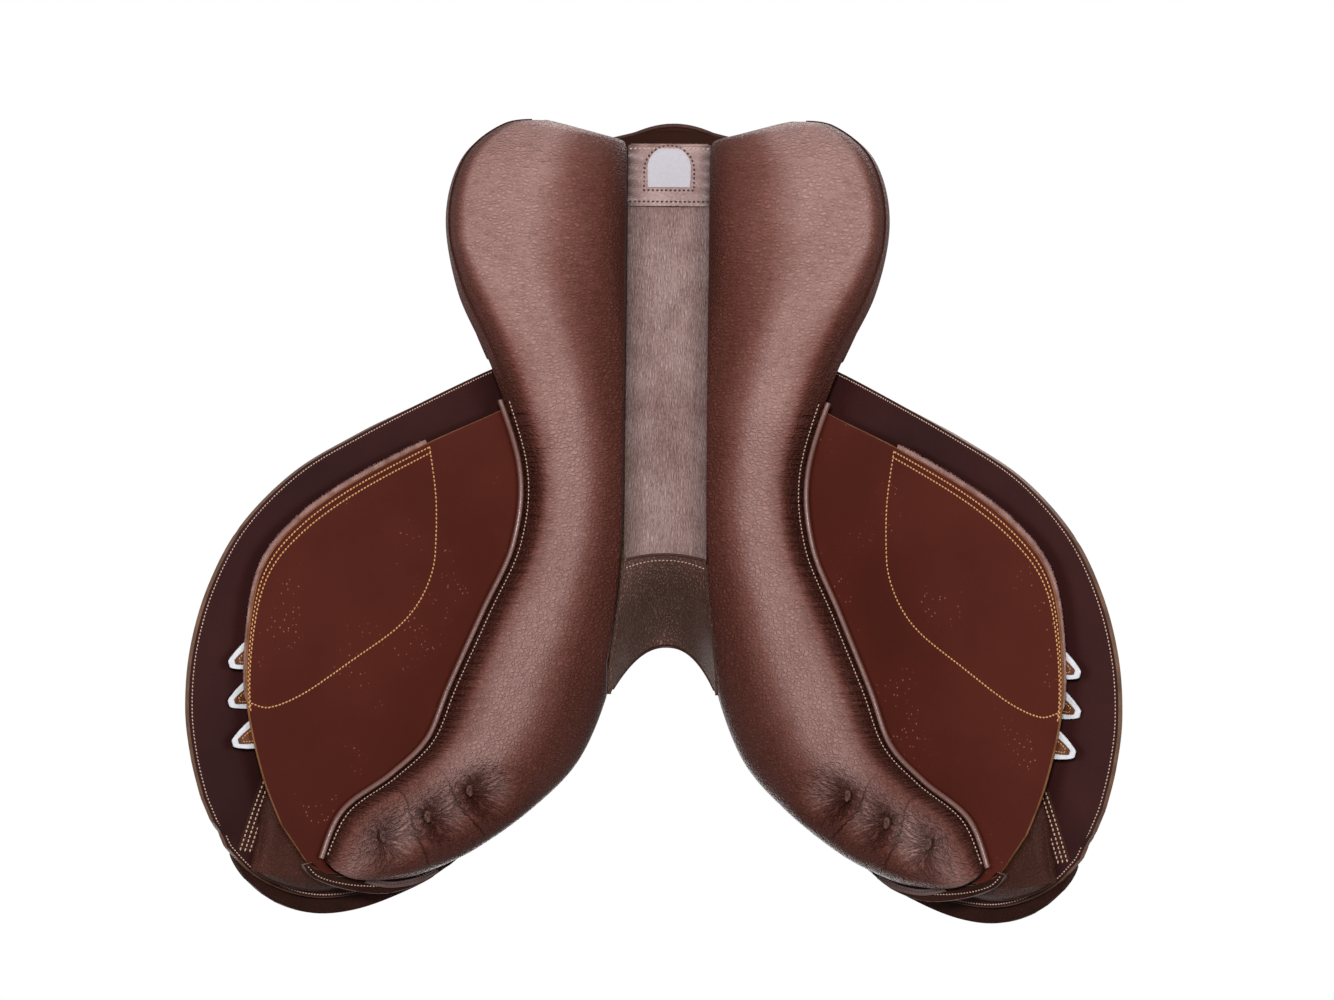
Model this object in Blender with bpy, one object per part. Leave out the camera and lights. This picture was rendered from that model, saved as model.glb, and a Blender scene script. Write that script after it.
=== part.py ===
"""Close contact jumping saddle, upright as it sits on a horse.

Seat up (+Z), pommel towards -Y, cantle towards +Y, near (left) side at +X.
The origin lies on the centre line, 55 mm below the top of the back surface, under the balance point.
Every leather layer is laid on one smooth back surface, so that the layers follow each other.
Plan outlines are short tables of stations in millimetres; everything else is in metres.
"""
import math

import bmesh
import bpy
import numpy as np
from mathutils import Matrix, Vector

for old in list(bpy.data.objects):
    bpy.data.objects.remove(old)

MM = 0.001

# The back surface that the panels and flaps lie on
BACK_TOP = 0.055
BACK_ROUND = 0.100
FRONT_SLOPE = math.radians(47.0)
REAR_SLOPE = math.radians(20.0)
SLOPE_REAR_Y = 0.160
SLOPE_FRONT_Y = 0.000

# Clearances
GAP = 0.0003
LAYER_GAP = 0.0006

# Leathers, foam and boards
SWEAT_THICK = 0.0035
FLAP_THICK = 0.0045
SKIRT_THICK = 0.0036
COVER_THICK = 0.0024
LINING_THICK = 0.0018
BACK_THICK = 0.0026
POCKET_THICK = 0.0018
HEAD_COVER_THICK = 0.0010
FOAM_THICK = 0.0130
WEB_THICK = 0.0014
TREE_THICK = 0.0090
PLATE_THICK = 0.0025
SPRING_THICK = 0.0016
SPRING_WIDTH = 0.014

# Panels
GULLET_WIDTH = 0.073
PANEL_DEPTH = 0.040
TUFT_DEPTH = 0.45
TUFT_RADIUS = 0.013
PIPING_RADIUS = 0.0024
WELT_RADIUS = 0.0022

# Girth straps
BILLET_WIDTH = 0.024
BILLET_THICK = 0.0042
BILLET_TAPER = 0.020

# Knee parts
BLOCK_RISE = 0.0075
KNEE_PAD_DEPTH = 0.013

# Stirrup bar, its catch and rivet
BAR_LENGTH = 0.088
BAR_HEIGHT = 0.014
BAR_THICK = 0.0046
BAR_SLOT = 0.0066
BAR_PLATE = 0.0028
BAR_SHORT = 0.008
CATCH_LENGTH = 0.014
CATCH_THICK = 0.0022
CATCH_ROUND = 0.0048
TONGUE_THICK = BAR_THICK - CATCH_THICK - GAP
RIVET_RADIUS = 0.0018
RIVET_HEAD = 0.0034
RIVET_HEAD_THICK = 0.0010

# Keepers, nails and badge plate
KEEPER_WIDTH = 0.016
KEEPER_THICK = 0.0018
NAIL_RADIUS = 0.0055
NAIL_HEIGHT = 0.0022
BADGE_WIDTH = 0.038
BADGE_HEIGHT = 0.034
BADGE_THICK = 0.0014

# Layers above the back surface, from the horse outwards
PANEL_TOP = -2 * LAYER_GAP
SWEAT_OUT = SWEAT_THICK
LOW_BILLET = SWEAT_OUT + LAYER_GAP
HIGH_BILLET = LOW_BILLET + BILLET_THICK + LAYER_GAP
FLAP_IN = HIGH_BILLET + BILLET_THICK + LAYER_GAP
FLAP_OUT = FLAP_IN + FLAP_THICK
BAR_TOP = FLAP_OUT + LAYER_GAP + BAR_PLATE + BAR_SLOT + BAR_THICK + GAP + RIVET_HEAD_THICK

# Seat stations, front to back: y, half width, centre height, dish, rim height
SEAT = [(-188, 48, 127, 0, 80),
        (-165, 54, 142, 0, 72),
        (-120, 65, 128, 0, 68),
        (-60, 81, 104, 0, 62),
        (0, 97, 93, 2, 59),
        (60, 119, 93, 7, 60),
        (120, 143, 101, 14, 66),
        (180, 146, 119, 17, 88),
        (230, 122, 143, 11, 119),
        (262, 82, 160, 5, 148),
        (280, 34, 168, 1, 165)]
SEAT_BOW = 0.008

# Panel stations, rear to front: inner edge beyond the gullet wall, its y, outer edge x and y, depth share
PANEL = [(9, 261, 110, 272, 0.34),
         (1, 249, 146, 266, 0.90),
         (0, 216, 180, 236, 1.34),
         (0, 166, 193, 183, 1.45),
         (0, 100, 181, 119, 1.38),
         (0, 40, 148, 50, 1.15),
         (0, -30, 122, -32, 1.00),
         (1, -95, 126, -98, 0.95),
         (6, -160, 150, -157, 0.92),
         (17, -222, 176, -220, 0.88),
         (43, -285, 193, -265, 0.82),
         (82, -326, 221, -294, 0.78),
         (128, -358, 256, -319, 0.68),
         (168, -376, 271, -354, 0.42)]
# Sewn tufts on each panel
TUFTS = [(160, -305), (191, -322), (224, -336)]

# Sweat flap stations, seat side to girth side: rear edge, front edge
SWEAT_FLAP = [(100, 44, 64, -165),
              (137, 18, 74, -225),
              (198, -14, 98, -282),
              (258, -51, 134, -326),
              (296, -84, 174, -353),
              (318, -118, 211, -368),
              (327, -165, 243, -373),
              (328, -225, 268, -371),
              (317, -285, 282, -363),
              (303, -328, 290, -351)]

# Flap stations, fold line to girth side: rear edge, front edge
FLAP = [(128, 61, 94, -190),
        (154, 50, 89, -240),
        (203, 22, 106, -296),
        (253, -8, 142, -341),
        (298, -40, 181, -371),
        (335, -84, 217, -386),
        (357, -132, 251, -393),
        (369, -182, 281, -393),
        (372, -230, 306, -384),
        (368, -270, 328, -368),
        (361, -303, 346, -345)]
# Flap root, nailed to the tree: inner edge of the leather, rear to front
ROOT = [(84, 52), (72, -20), (64, -80), (56, -168)]

# Skirt: the two places along the rim between which it hangs, its fold and its lower edge, rear to front
SKIRT_REAR = 56
SKIRT_FRONT = -166
SKIRT_FOLD = (122, 54, 62, -168)
SKIRT = [(150, 50), (158, 18), (166, -32), (162, -80), (143, -124), (114, -156), (80, -178)]

# Cantle back: where it starts along the rim, and its lower edge from the waist to the centre
CANTLE_START = 66
CANTLE_LOW = [(153, 60), (164, 84), (176, 112), (177, 150), (166, 190), (136, 222), (92, 240), (46, 249), (0, 252)]

# Tree half outline, back to front: inner edge, outer edge
TREE = [(0, 190, 0, 248),
        (40, 176, 84, 224),
        (54, 120, 112, 148),
        (46, 50, 94, 54),
        (30, -20, 74, -22),
        (24, -80, 58, -84),
        (16, -116, 38, -132),
        (7, -124, 18, -148),
        (0, -125, 0, -151)]

# Pommel arch: its half width and drop at the feet, how its sides fall, and how far the feet lean forward
ARCH_TOP = 0.108
ARCH_HALF = 0.054
ARCH_DROP = 0.108
ARCH_POWER = 2.2
ARCH_LEAN = 0.52
ARCH_FRONT = -0.190
HEAD_LINING_REAR = -0.112
GULLET_LINING_REAR = 0.206
HEAD_DEPTH = 0.020
HEAD_LEG = 0.74
HEAD_OFF = 0.0092
HEAD_THICK = 0.0072
PLATE_OFF = 0.0035
POINT_THICK = 0.0036

# Leather over the head's legs: where it starts and ends, in shares of the leg and point
COVER_START = 0.50
COVER_END = 0.75

# Half of the tree's points beyond the arch: x, y
POINT_PATH = [(64, -209), (86, -215), (110, -222)]

# Point pocket in plan: rear edge, front edge
POCKET = [(84, -188, 82, -242), (104, -191, 102, -248), (126, -202, 125, -246)]

# Front facing of a panel: edge beside the sweat flap, outer edge
FACING = [(166, -350, 162, -356),
          (190, -361, 188, -375),
          (216, -371, 220, -388),
          (244, -375, 250, -385),
          (268, -373, 278, -374),
          (280, -366, 288, -362)]

# Girth straps, rear to front: y at the root, x and y at the tip, whether it lies in the upper layer
BILLET_ROOT_X = 84
BILLET_PIVOT_X = 96
BILLETS = [(-64, 341, -196, False), (-102, 342, -228, True), (-140, 338, -260, False)]
BILLET_NORMAL_X = 300

# Knee block under the flap, in shares of the flap: rear edge t and s, front edge t and s
KNEE_BLOCK = [(0.30, 0.76, 0.28, 0.955),
              (0.40, 0.68, 0.40, 0.960),
              (0.52, 0.61, 0.54, 0.965),
              (0.64, 0.575, 0.68, 0.970),
              (0.72, 0.60, 0.78, 0.970),
              (0.81, 0.74, 0.85, 0.970),
              (0.87, 0.88, 0.89, 0.960)]

# Knee pad on the flap, top to bottom: rear edge, front edge
KNEE_PAD = [(126, -192, 95, -214),
            (156, -229, 97, -262),
            (188, -262, 117, -308),
            (222, -291, 151, -349),
            (256, -310, 187, -381),
            (286, -322, 222, -398),
            (311, -331, 255, -407),
            (328, -338, 285, -406),
            (338, -345, 312, -393),
            (343, -351, 332, -373)]
# Keeper for the end of a stirrup leather, in plan on the flap: centre, half length along Y
KEEPER_PLACE = (318, -176)
KEEPER_HALF_LENGTH = 22

# Stirrup bar in plan: its middle on the flap root and how its ends sit across it
BAR_MIDDLE = (94, -62)
BAR_REAR = (100.5, -30)

# Pommel nails on the seat: shares along and across
NAIL_PLACE = (0.135, 0.86)

# Rear tab and badge plate: ends of the tab along Y
TAB_REAR = 0.252
TAB_FRONT = 0.199
BADGE_Y = 0.232


def smooth(t):
    """Eases from 0 to 1."""
    t = min(max(t, 0.0), 1.0)
    return t * t * (3.0 - 2.0 * t)


def mix(a, b, t):
    """Point between two values."""
    return a + (b - a) * t


def through(stations, u):
    """Values at share u of a smooth curve through the stations, whatever number of columns they have."""
    s = np.asarray(stations, float)
    last = len(s) - 1
    k = min(int(max(u, 0.0) * last), last - 1)
    f = u * last - k
    p0, p1, p2, p3 = s[max(k - 1, 0)], s[k], s[k + 1], s[min(k + 2, last)]
    curve = 2 * p1 + (p2 - p0) * f + (2 * p0 - 5 * p1 + 4 * p2 - p3) * f ** 2
    return 0.5 * (curve + (3 * p1 - p0 - 3 * p2 + p3) * f ** 3)


def share_at(stations, column, value):
    """Share u at which a column that only rises reaches the value."""
    low, high = 0.0, 1.0
    for step in range(30):
        middle = (low + high) / 2
        if through(stations, middle)[column] < value:
            low = middle
        else:
            high = middle
    return (low + high) / 2


def back(x, y):
    """Height of the back surface."""
    steep = smooth((SLOPE_REAR_Y - y) / (SLOPE_REAR_Y - SLOPE_FRONT_Y))
    slope = mix(math.tan(REAR_SLOPE), math.tan(FRONT_SLOPE), steep)
    return BACK_TOP - slope * (math.hypot(x, BACK_ROUND) - BACK_ROUND)


def back_normal(x, y):
    """Unit normal of the back surface, pointing away from the horse."""
    step = 0.001
    dx = (back(x + step, y) - back(x - step, y)) / (2 * step)
    dy = (back(x, y + step) - back(x, y - step)) / (2 * step)
    return Vector((-dx, -dy, 1.0)).normalized()


def lay(x, y, offset, at):
    """Point at a distance off the back surface, on the normal that passes through (x, y) at distance at."""
    bx, by = x, y
    for step in range(4):
        n = back_normal(bx, by)
        bx, by = x - n.x * at, y - n.y * at
    n = back_normal(bx, by)
    return Vector((bx, by, back(bx, by))) + n * offset


def seat_row(u):
    """Seat station at share u, front to back: y, half width, centre height, dish, rim height."""
    return through(SEAT, u) * MM


def seat_bow(u, v):
    """How far the seat's cross lines curve forward at the sides, near the cantle."""
    return SEAT_BOW * smooth((u - 0.75) / 0.25) * v * v


def seat_point(u, v, below=0.0):
    """Point on the seat at share u along and v across (-1 to 1), a distance below its top."""
    y, width, centre, dish, rim = seat_row(u)
    fall = centre + dish - rim
    bow = seat_bow(u, v)
    return Vector((width * v, y - bow, centre + dish * v * v - fall * abs(v) ** 6 - below))


def seat_height(x, y):
    """Height of the seat's top at a place in plan."""
    v, behind = 0.0, 0.0
    for step in range(3):
        u = share_at(SEAT, 0, (y + behind) / MM)
        v = min(abs(x) / seat_row(u)[1], 1.0)
        behind = seat_bow(u, v)
    return seat_point(u, v).z


def colour(red, green, blue):
    """Linear colour from screen values of 0 to 255."""
    return tuple(((c / 255) / 12.92 if c <= 10 else ((c / 255 + 0.055) / 1.055) ** 2.4)
                 for c in (red, green, blue)) + (1.0,)


def finish(name, red, green, blue, roughness, metallic=0.0):
    """Principled material of one plain colour."""
    material = bpy.data.materials.new(name)
    material.use_nodes = True
    shader = material.node_tree.nodes["Principled BSDF"]
    shader.inputs["Base Color"].default_value = colour(red, green, blue)
    shader.inputs["Roughness"].default_value = roughness
    shader.inputs["Metallic"].default_value = metallic
    return material


parts = bpy.data.collections.new("close_contact_saddle")
cutters = bpy.data.collections.new("cutters")
bpy.context.scene.collection.children.link(parts)
bpy.context.scene.collection.children.link(cutters)


def add_mesh(name, bm, material, origin=(0, 0, 0), angle=50):
    """Puts a bmesh made in world places into an object with its origin where it turns."""
    bmesh.ops.remove_doubles(bm, verts=bm.verts, dist=0.00001)
    bmesh.ops.recalc_face_normals(bm, faces=bm.faces)
    bmesh.ops.translate(bm, verts=bm.verts, vec=-Vector(origin))
    mesh = bpy.data.meshes.new(name)
    bm.to_mesh(mesh)
    bm.free()
    mesh.shade_smooth()
    mesh.set_sharp_from_angle(angle=math.radians(angle))
    thing = bpy.data.objects.new(name, mesh)
    thing.location = origin
    thing.data.materials.append(material)
    parts.objects.link(thing)
    return thing


def slab(name, across, along, place, material, origin=(0, 0, 0)):
    """Closed sheet: a grid and its extruded copy, each laid where place(s, t, face) says."""
    bm = bmesh.new()
    bmesh.ops.create_grid(bm, x_segments=across, y_segments=along, size=0.5)
    first = list(bm.verts)
    extruded = bmesh.ops.extrude_face_region(bm, geom=list(bm.faces))
    second = [v for v in extruded["geom"] if isinstance(v, bmesh.types.BMVert)]
    for face, verts in enumerate((first, second)):
        for v in verts:
            v.co = place(v.co.x + 0.5, v.co.y + 0.5, face)
    return add_mesh(name, bm, material, origin)


def loft(name, around, along, place, material, origin=(0, 0, 0)):
    """Closed body round a path: a grid rolled into a tube by place(angle share, t), with its ends filled."""
    bm = bmesh.new()
    bmesh.ops.create_grid(bm, x_segments=around, y_segments=along, size=0.5)
    for v in bm.verts:
        v.co = place((v.co.x + 0.5) % 0.999999, v.co.y + 0.5)
    bmesh.ops.remove_doubles(bm, verts=bm.verts, dist=0.00002)
    bmesh.ops.holes_fill(bm, edges=[e for e in bm.edges if e.is_boundary], sides=0)
    return add_mesh(name, bm, material, origin)


def tube(name, points, radius, material, cyclic=False, resolution=1):
    """Round welt or wire along a list of points."""
    data = bpy.data.curves.new(name, "CURVE")
    data.dimensions = "3D"
    data.bevel_depth = radius
    data.bevel_resolution = resolution
    data.use_fill_caps = True
    line = data.splines.new("POLY")
    line.points.add(len(points) - 1)
    for knot, point in zip(line.points, points):
        knot.co = (*point, 1.0)
    line.use_cyclic_u = cyclic
    data.materials.append(material)
    thing = bpy.data.objects.new(name, data)
    parts.objects.link(thing)
    return thing


def outline(name, rings, thickness, matrix, material):
    """Flat plate from closed outlines in millimetres, a second outline being a hole in the first."""
    data = bpy.data.curves.new(name, "CURVE")
    data.dimensions = "2D"
    data.fill_mode = "BOTH"
    data.extrude = thickness / 2
    for ring in rings:
        line = data.splines.new("POLY")
        line.points.add(len(ring) - 1)
        for knot, point in zip(line.points, ring):
            knot.co = (point[0], point[1], 0.0, 1.0)
        line.use_cyclic_u = True
    data.materials.append(material)
    thing = bpy.data.objects.new(name, data)
    thing.matrix_world = matrix
    parts.objects.link(thing)
    return thing


def arc(cx, cy, radius, start, end, count):
    """Points of an arc in degrees."""
    angles = np.radians(np.linspace(start, end, count))
    return [(cx + radius * math.cos(a), cy + radius * math.sin(a)) for a in angles]


grained = finish("grained_calf", 104, 66, 60, 0.48)
lining_hide = finish("lining_hide", 112, 84, 80, 0.60)
head_hide = finish("head_hide", 78, 52, 48, 0.60)
sweat_hide = finish("sweat_flap_hide", 86, 38, 28, 0.45)
flap_hide = finish("flap_hide", 58, 32, 32, 0.50)
seat_hide = finish("seat_calf", 84, 50, 44, 0.45)
strap_hide = finish("strap_hide", 96, 56, 34, 0.50)
foam = finish("seat_foam", 206, 192, 150, 0.95)
webbing = finish("webbing", 196, 186, 164, 0.90)
beech = finish("laminated_beech", 186, 150, 104, 0.70)
blued_steel = finish("blued_steel", 70, 72, 78, 0.40, 1.0)
bright_steel = finish("stainless_steel", 190, 190, 188, 0.25, 1.0)
badge_enamel = finish("badge_plate", 226, 224, 226, 0.35)


SEAT_ROWS = 22


def seat_layer(name, top, bottom, reach, columns, rows, first, last, material):
    """Layer of the seat between two depths below its top, over a share of its width and length."""
    def place(s, t, face):
        u = mix(first, last, t)
        v = mix(-reach, reach, s)
        return seat_point(u, v, (top, bottom)[face](v))
    return slab(name, columns, rows, place, material)


def cover_top(v):
    return 0.0


def cover_bottom(v):
    return COVER_THICK


def foam_top(v):
    return COVER_THICK + 2 * LAYER_GAP + 0.0014 * abs(v / 0.88) ** 4


def foam_bottom(v):
    return COVER_THICK + 2 * LAYER_GAP + mix(FOAM_THICK, 0.004, abs(v / 0.88) ** 4)


def web_top(v):
    return COVER_THICK + FOAM_THICK + 4 * LAYER_GAP


def web_bottom(v):
    return web_top(v) + WEB_THICK


seat_layer("seat_cover", cover_top, cover_bottom, 1.0, 16, SEAT_ROWS, 0.0, 1.0, seat_hide)
seat_layer("seat_foam", foam_top, foam_bottom, 0.88, 10, 16, 0.10, 0.84, foam)
seat_layer("seat_web", web_top, web_bottom, 0.52, 4, 12, 0.15, 0.80, webbing)


def tree_top(s, t):
    """Point on the top of the tree: t runs once round it from the cantle, s from its inner to its outer edge."""
    side = 1.0 if t < 0.5 else -1.0
    xi, yi, xo, yo = through(TREE, 2 * t if t < 0.5 else 2 - 2 * t) * MM
    x, y = max(mix(xi, xo, s), 0.0), mix(yi, yo, s)
    dip = 0.012 * (1.0 - s)
    under_web = seat_height(x, y) - web_bottom(0) - LAYER_GAP - dip
    top = max(back(x, y) + LAYER_GAP + TREE_THICK, under_web)
    return Vector((side * x, y, top))


def wrap(a, columns):
    """Place on a flat section that is rolled into a ring: share across it, and 0 above or 1 below."""
    k = round(a * 2 * columns) % (2 * columns)
    if k < columns:
        return k / (columns - 1), 0
    return (2 * columns - 1 - k) / (columns - 1), 1


def tree_place(a, t):
    """Tree as a closed ring of flat section."""
    s, face = wrap(a, 4)
    return tree_top(s, t % 0.999999) - Vector((0, 0, face * TREE_THICK))


loft("tree", 8, 44, tree_place, beech)


def spring_place(side):
    """Steel spring along one rail of the tree, on top of the wood."""
    def place(s, t, face):
        along = mix(0.20, 0.30, t) if side > 0 else 1 - mix(0.20, 0.30, t)
        wide = SPRING_WIDTH / 0.044
        point = tree_top(mix(0.30, 0.30 + wide, s), along)
        return point + Vector((0, 0, LAYER_GAP + face * SPRING_THICK))
    return place


def rim(u, side, out=0.0, down=0.0):
    """Point on the seat's rim, moved outwards in plan and down."""
    here = seat_point(u, 1.0)
    ahead = seat_point(min(u + 0.01, 1.0), 1.0)
    behind = seat_point(max(u - 0.01, 0.0), 1.0)
    along = (ahead - behind).normalized()
    outward = Vector((along.y, -along.x, 0.0)).normalized()
    point = here + outward * out - Vector((0, 0, down))
    return Vector((point.x * side, point.y, point.z))


def seat_welt():
    """Round welt that goes along the seat's rim, from one side of the pommel round the cantle to the other."""
    out = WELT_RADIUS + LAYER_GAP
    down = COVER_THICK / 5
    shares = np.linspace(1 / SEAT_ROWS, 1.0, SEAT_ROWS)
    left = [rim(u, 1, out, down) for u in shares]
    right = [rim(u, -1, out, down) for u in reversed(shares)]
    rear = []
    for v in np.linspace(0.875, -0.875, 8):
        along = seat_point(1.0, v - 0.02) - seat_point(1.0, v + 0.02)
        outward = Vector((along.y, -along.x, 0.0)).normalized()
        rear.append(seat_point(1.0, v) + outward * (out + GAP) - Vector((0, 0, down)))
    tube("seat_welt", left + rear + right, WELT_RADIUS, seat_hide)


seat_welt()


def cantle_back_place(s, t, face):
    """Wall from under the seat's rim down to the panels, round the rear of the seat."""
    side = 1.0 if s < 0.5 else -1.0
    share = 1.0 - abs(2 * s - 1)
    inside = 0.0015 + face * BACK_THICK
    if share < 0.84:
        top = rim(mix(share_at(SEAT, 0, CANTLE_START), 1.0, share / 0.84), 1, -inside)
    else:
        top = seat_point(1.0, (1.0 - share) / 0.16) - Vector((0, inside, 0))
    top.z = min(top.z, seat_height(top.x, top.y)) - COVER_THICK - 2 * LAYER_GAP
    low_x, low_y = through(CANTLE_LOW, share) * MM
    inward = Vector((low_x, low_y - 0.10, 0.0)).normalized() * face * BACK_THICK
    low_x, low_y = max(low_x - inward.x, 0.0), low_y - inward.y
    low = Vector((low_x, low_y, back(low_x, low_y) + LAYER_GAP))
    outward = Vector((top.x, top.y - 0.12, 0.0)).normalized()
    point = top.lerp(low, t) + outward * 0.005 * math.sin(math.pi * t)
    return Vector((point.x * side, point.y, point.z))


slab("cantle_back", 34, 3, cantle_back_place, seat_hide)


def panel_place(side):
    """Cushion of one side: crowned towards the horse, flat where it is sewn to the saddle."""
    flat_share = 0.26

    def place(a, t):
        inner, yi, xo, yo, depth = through(PANEL, t)
        xi = GULLET_WIDTH / 2 + inner * MM
        yi, xo, yo = yi * MM, xo * MM, yo * MM
        if a < flat_share:
            s, sunk = a / flat_share, 0.0
        else:
            turn = math.pi * (a - flat_share) / (1 - flat_share)
            across = math.cos(turn)
            s = 0.5 + 0.5 * math.copysign(abs(across) ** 0.62, across)
            sunk = math.sin(turn) ** 0.55 * mix(1.08, 0.80, smooth(s))
        x, y = mix(xi, xo, s), mix(yi, yo, s)
        sunk *= PANEL_DEPTH * depth
        for tx, ty in TUFTS:
            away = math.hypot(x - tx * MM, y - ty * MM)
            sunk *= 1.0 - TUFT_DEPTH * math.exp(-(away / TUFT_RADIUS) ** 2)
        point = lay(x, y, PANEL_TOP - sunk, PANEL_TOP)
        wall = GULLET_WIDTH / 2 + max(inner, 0.0) * MM
        point.x = max(point.x, min(wall, GULLET_WIDTH / 2 + 0.012))
        return Vector((point.x * side, point.y, point.z))
    return place


def sweat_place(side):
    """Sweat flap: the leather that lies against the horse's side, sewn to the panel's outer edge."""
    def place(s, t, face):
        xr, yr, xf, yf = through(SWEAT_FLAP, t) * MM
        x, y = mix(xr, xf, s), mix(yr, yf, s)
        point = lay(x, y, face * SWEAT_THICK, SWEAT_THICK / 2)
        return Vector((point.x * side, point.y, point.z))
    return place


def flap_inner(s, t):
    """Distance of the flap's inner face off the back surface: it rises over the knee block."""
    return FLAP_IN + BLOCK_RISE * smooth((s - 0.45) / 0.3) * smooth((t - 0.18) / 0.25)


def flap_plan(s, t):
    """Place in plan on the flap, s from its rear to its front edge and t from the fold line down."""
    xr, yr, xf, yf = through(FLAP, t) * MM
    return mix(xr, xf, s), mix(yr, yf, s)


def flap_place(side):
    """Flap: the large outer leather, from its fold line down."""
    def place(s, t, face):
        x, y = flap_plan(s, t)
        inner = flap_inner(s, t)
        point = lay(x, y, inner + face * FLAP_THICK, inner + FLAP_THICK / 2)
        return Vector((point.x * side, point.y, point.z))
    return place


def root_place(side):
    """Strip of the flap above the fold line, whose inner edge comes down to the panel beside the tree."""
    def place(s, t, face):
        xi, yi = through(ROOT, s) * MM
        xr, yr, xf, yf = np.asarray(FLAP[0]) * MM
        xo, yo = mix(xr, xf, s), mix(yr, yf, s)
        x = mix(xi, xo - 2 * LAYER_GAP, t)
        y = mix(yi, yo, t)
        inner = mix(PANEL_TOP + 2 * GAP, FLAP_IN, smooth(t / 0.45))
        point = lay(x, y, inner + face * FLAP_THICK, inner + FLAP_THICK / 2)
        return Vector((point.x * side, point.y, point.z))
    return place


def seam_points(side, count):
    """Welt along the panel's outer edge, on the sweat flap."""
    points = []
    for t in np.linspace(0.37, 0.985, count):
        inner, yi, xo, yo, depth = through(PANEL, t)
        ahead = through(PANEL, min(t + 0.01, 1.0))
        behind = through(PANEL, t - 0.01)
        along = Vector((ahead[2] - behind[2], ahead[3] - behind[3], 0.0)).normalized()
        outward = Vector((-along.y, along.x, 0.0))
        out = PIPING_RADIUS + LAYER_GAP
        x, y = xo * MM + outward.x * out, yo * MM + outward.y * out
        point = lay(x, y, -PIPING_RADIUS - LAYER_GAP, -PIPING_RADIUS)
        points.append(Vector((point.x * side, point.y, point.z)))
    return points


def fold_axis(side):
    """Ends of the flap's fold, on a straight line above the leather's upper face."""
    ends = []
    for x, y in ((FLAP[0][0], FLAP[0][1]), (FLAP[0][2], FLAP[0][3])):
        ends.append(lay(x * MM, y * MM, FLAP_OUT, FLAP_IN + FLAP_THICK / 2))
    return [Vector((p.x * side, p.y, p.z)) for p in ends]


def raised(surface, s, t, distance):
    """Point at a distance off a surface(s, t), on its own normal."""
    step = 0.004
    here = surface(s, t)
    ds = surface(min(s + step, 1), t) - surface(max(s - step, 0), t)
    dt = surface(s, min(t + step, 1)) - surface(s, max(t - step, 0))
    return here + ds.cross(dt).normalized() * distance


def arch_point(v, off=0.0):
    """Point of the pommel arch in cross section at share v across: x, height, and the drop below its top."""
    x = ARCH_HALF * v
    drop = ARCH_DROP * abs(v) ** ARCH_POWER
    rise = ARCH_DROP * ARCH_POWER * abs(v) ** (ARCH_POWER - 1) / ARCH_HALF
    size = math.hypot(rise, 1.0)
    return x + math.copysign(rise / size * off, v), ARCH_TOP - drop + off / size, drop


def gullet_lining_place(s, t, face):
    """Flat lining between the panels, under the tree."""
    half = GULLET_WIDTH / 2 - LAYER_GAP
    x, y = mix(-half, half, s), mix(HEAD_LINING_REAR - 0.002, GULLET_LINING_REAR, t)
    return Vector((x, y, back(x, y) - face * LINING_THICK))


def head_surface(s, t):
    """Under side of the pommel: flat at the rear, an arch at the front edge, whose feet lean forward."""
    half = GULLET_WIDTH / 2 - LAYER_GAP
    v = mix(-0.86, 0.86, s)
    x_front, z_front, drop = arch_point(v)
    x = mix(half * v / 0.86, x_front, smooth(t))
    z_rear = back(x, HEAD_LINING_REAR) - 2 * (LINING_THICK + LAYER_GAP)
    y = mix(HEAD_LINING_REAR, ARCH_FRONT - ARCH_LEAN * drop, t)
    return Vector((x, y, mix(z_rear, z_front, smooth(t))))


def head_lining_place(s, t, face):
    """Leather that lines the under side of the pommel."""
    return raised(head_surface, s, t, -face * LINING_THICK)


def facing_surface(s, t):
    """Front of the pommel between the arch and the seat's front edge."""
    v = mix(-0.80, 0.80, s)
    x_in, z_in, drop = arch_point(v, mix(0.0008, 0.0165, t))
    return Vector((x_in, ARCH_FRONT - ARCH_LEAN * (drop - 0.010 * t) - LAYER_GAP, z_in))


def facing_place(s, t, face):
    """Leather over the front of the pommel."""
    point = facing_surface(s, t)
    return point - Vector((0, face * POCKET_THICK, 0))


def head_path(t, off, side):
    """Path of the tree's head: from its top down one leg, then along the point to its tip."""
    legs = 0.62
    if t < legs:
        x, z, drop = arch_point(HEAD_LEG * t / legs, off)
        return Vector((x * side, ARCH_FRONT + HEAD_DEPTH / 2 + 0.008 - ARCH_LEAN * drop, z))
    x, y = through(POINT_PATH, (t - legs) / (1 - legs)) * MM
    layer = SWEAT_OUT + 2 * LAYER_GAP + POINT_THICK / 2
    point = lay(x, y, layer, layer)
    start_x, start_z, drop = arch_point(HEAD_LEG, off)
    start_y = ARCH_FRONT + HEAD_DEPTH / 2 + 0.008 - ARCH_LEAN * drop
    point = Vector((start_x, start_y, start_z)).lerp(point, smooth((t - legs) / 0.16))
    return Vector((point.x * side, point.y, point.z))


def head_frame(along, off, side):
    """Point of the head's path, with the directions across the strip and off its outer face."""
    here = head_path(along, off, side)
    ahead = head_path(min(along + 0.01, 1.0), off, side)
    behind = head_path(along - 0.01, off, side) if along > 0.01 else head_path(0.01, off, -side)
    tangent = (ahead - behind).normalized()
    wide = Vector((0, 1, 0)) - tangent * tangent.y
    wide.normalize()
    return here, wide, tangent.cross(wide) * side


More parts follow.
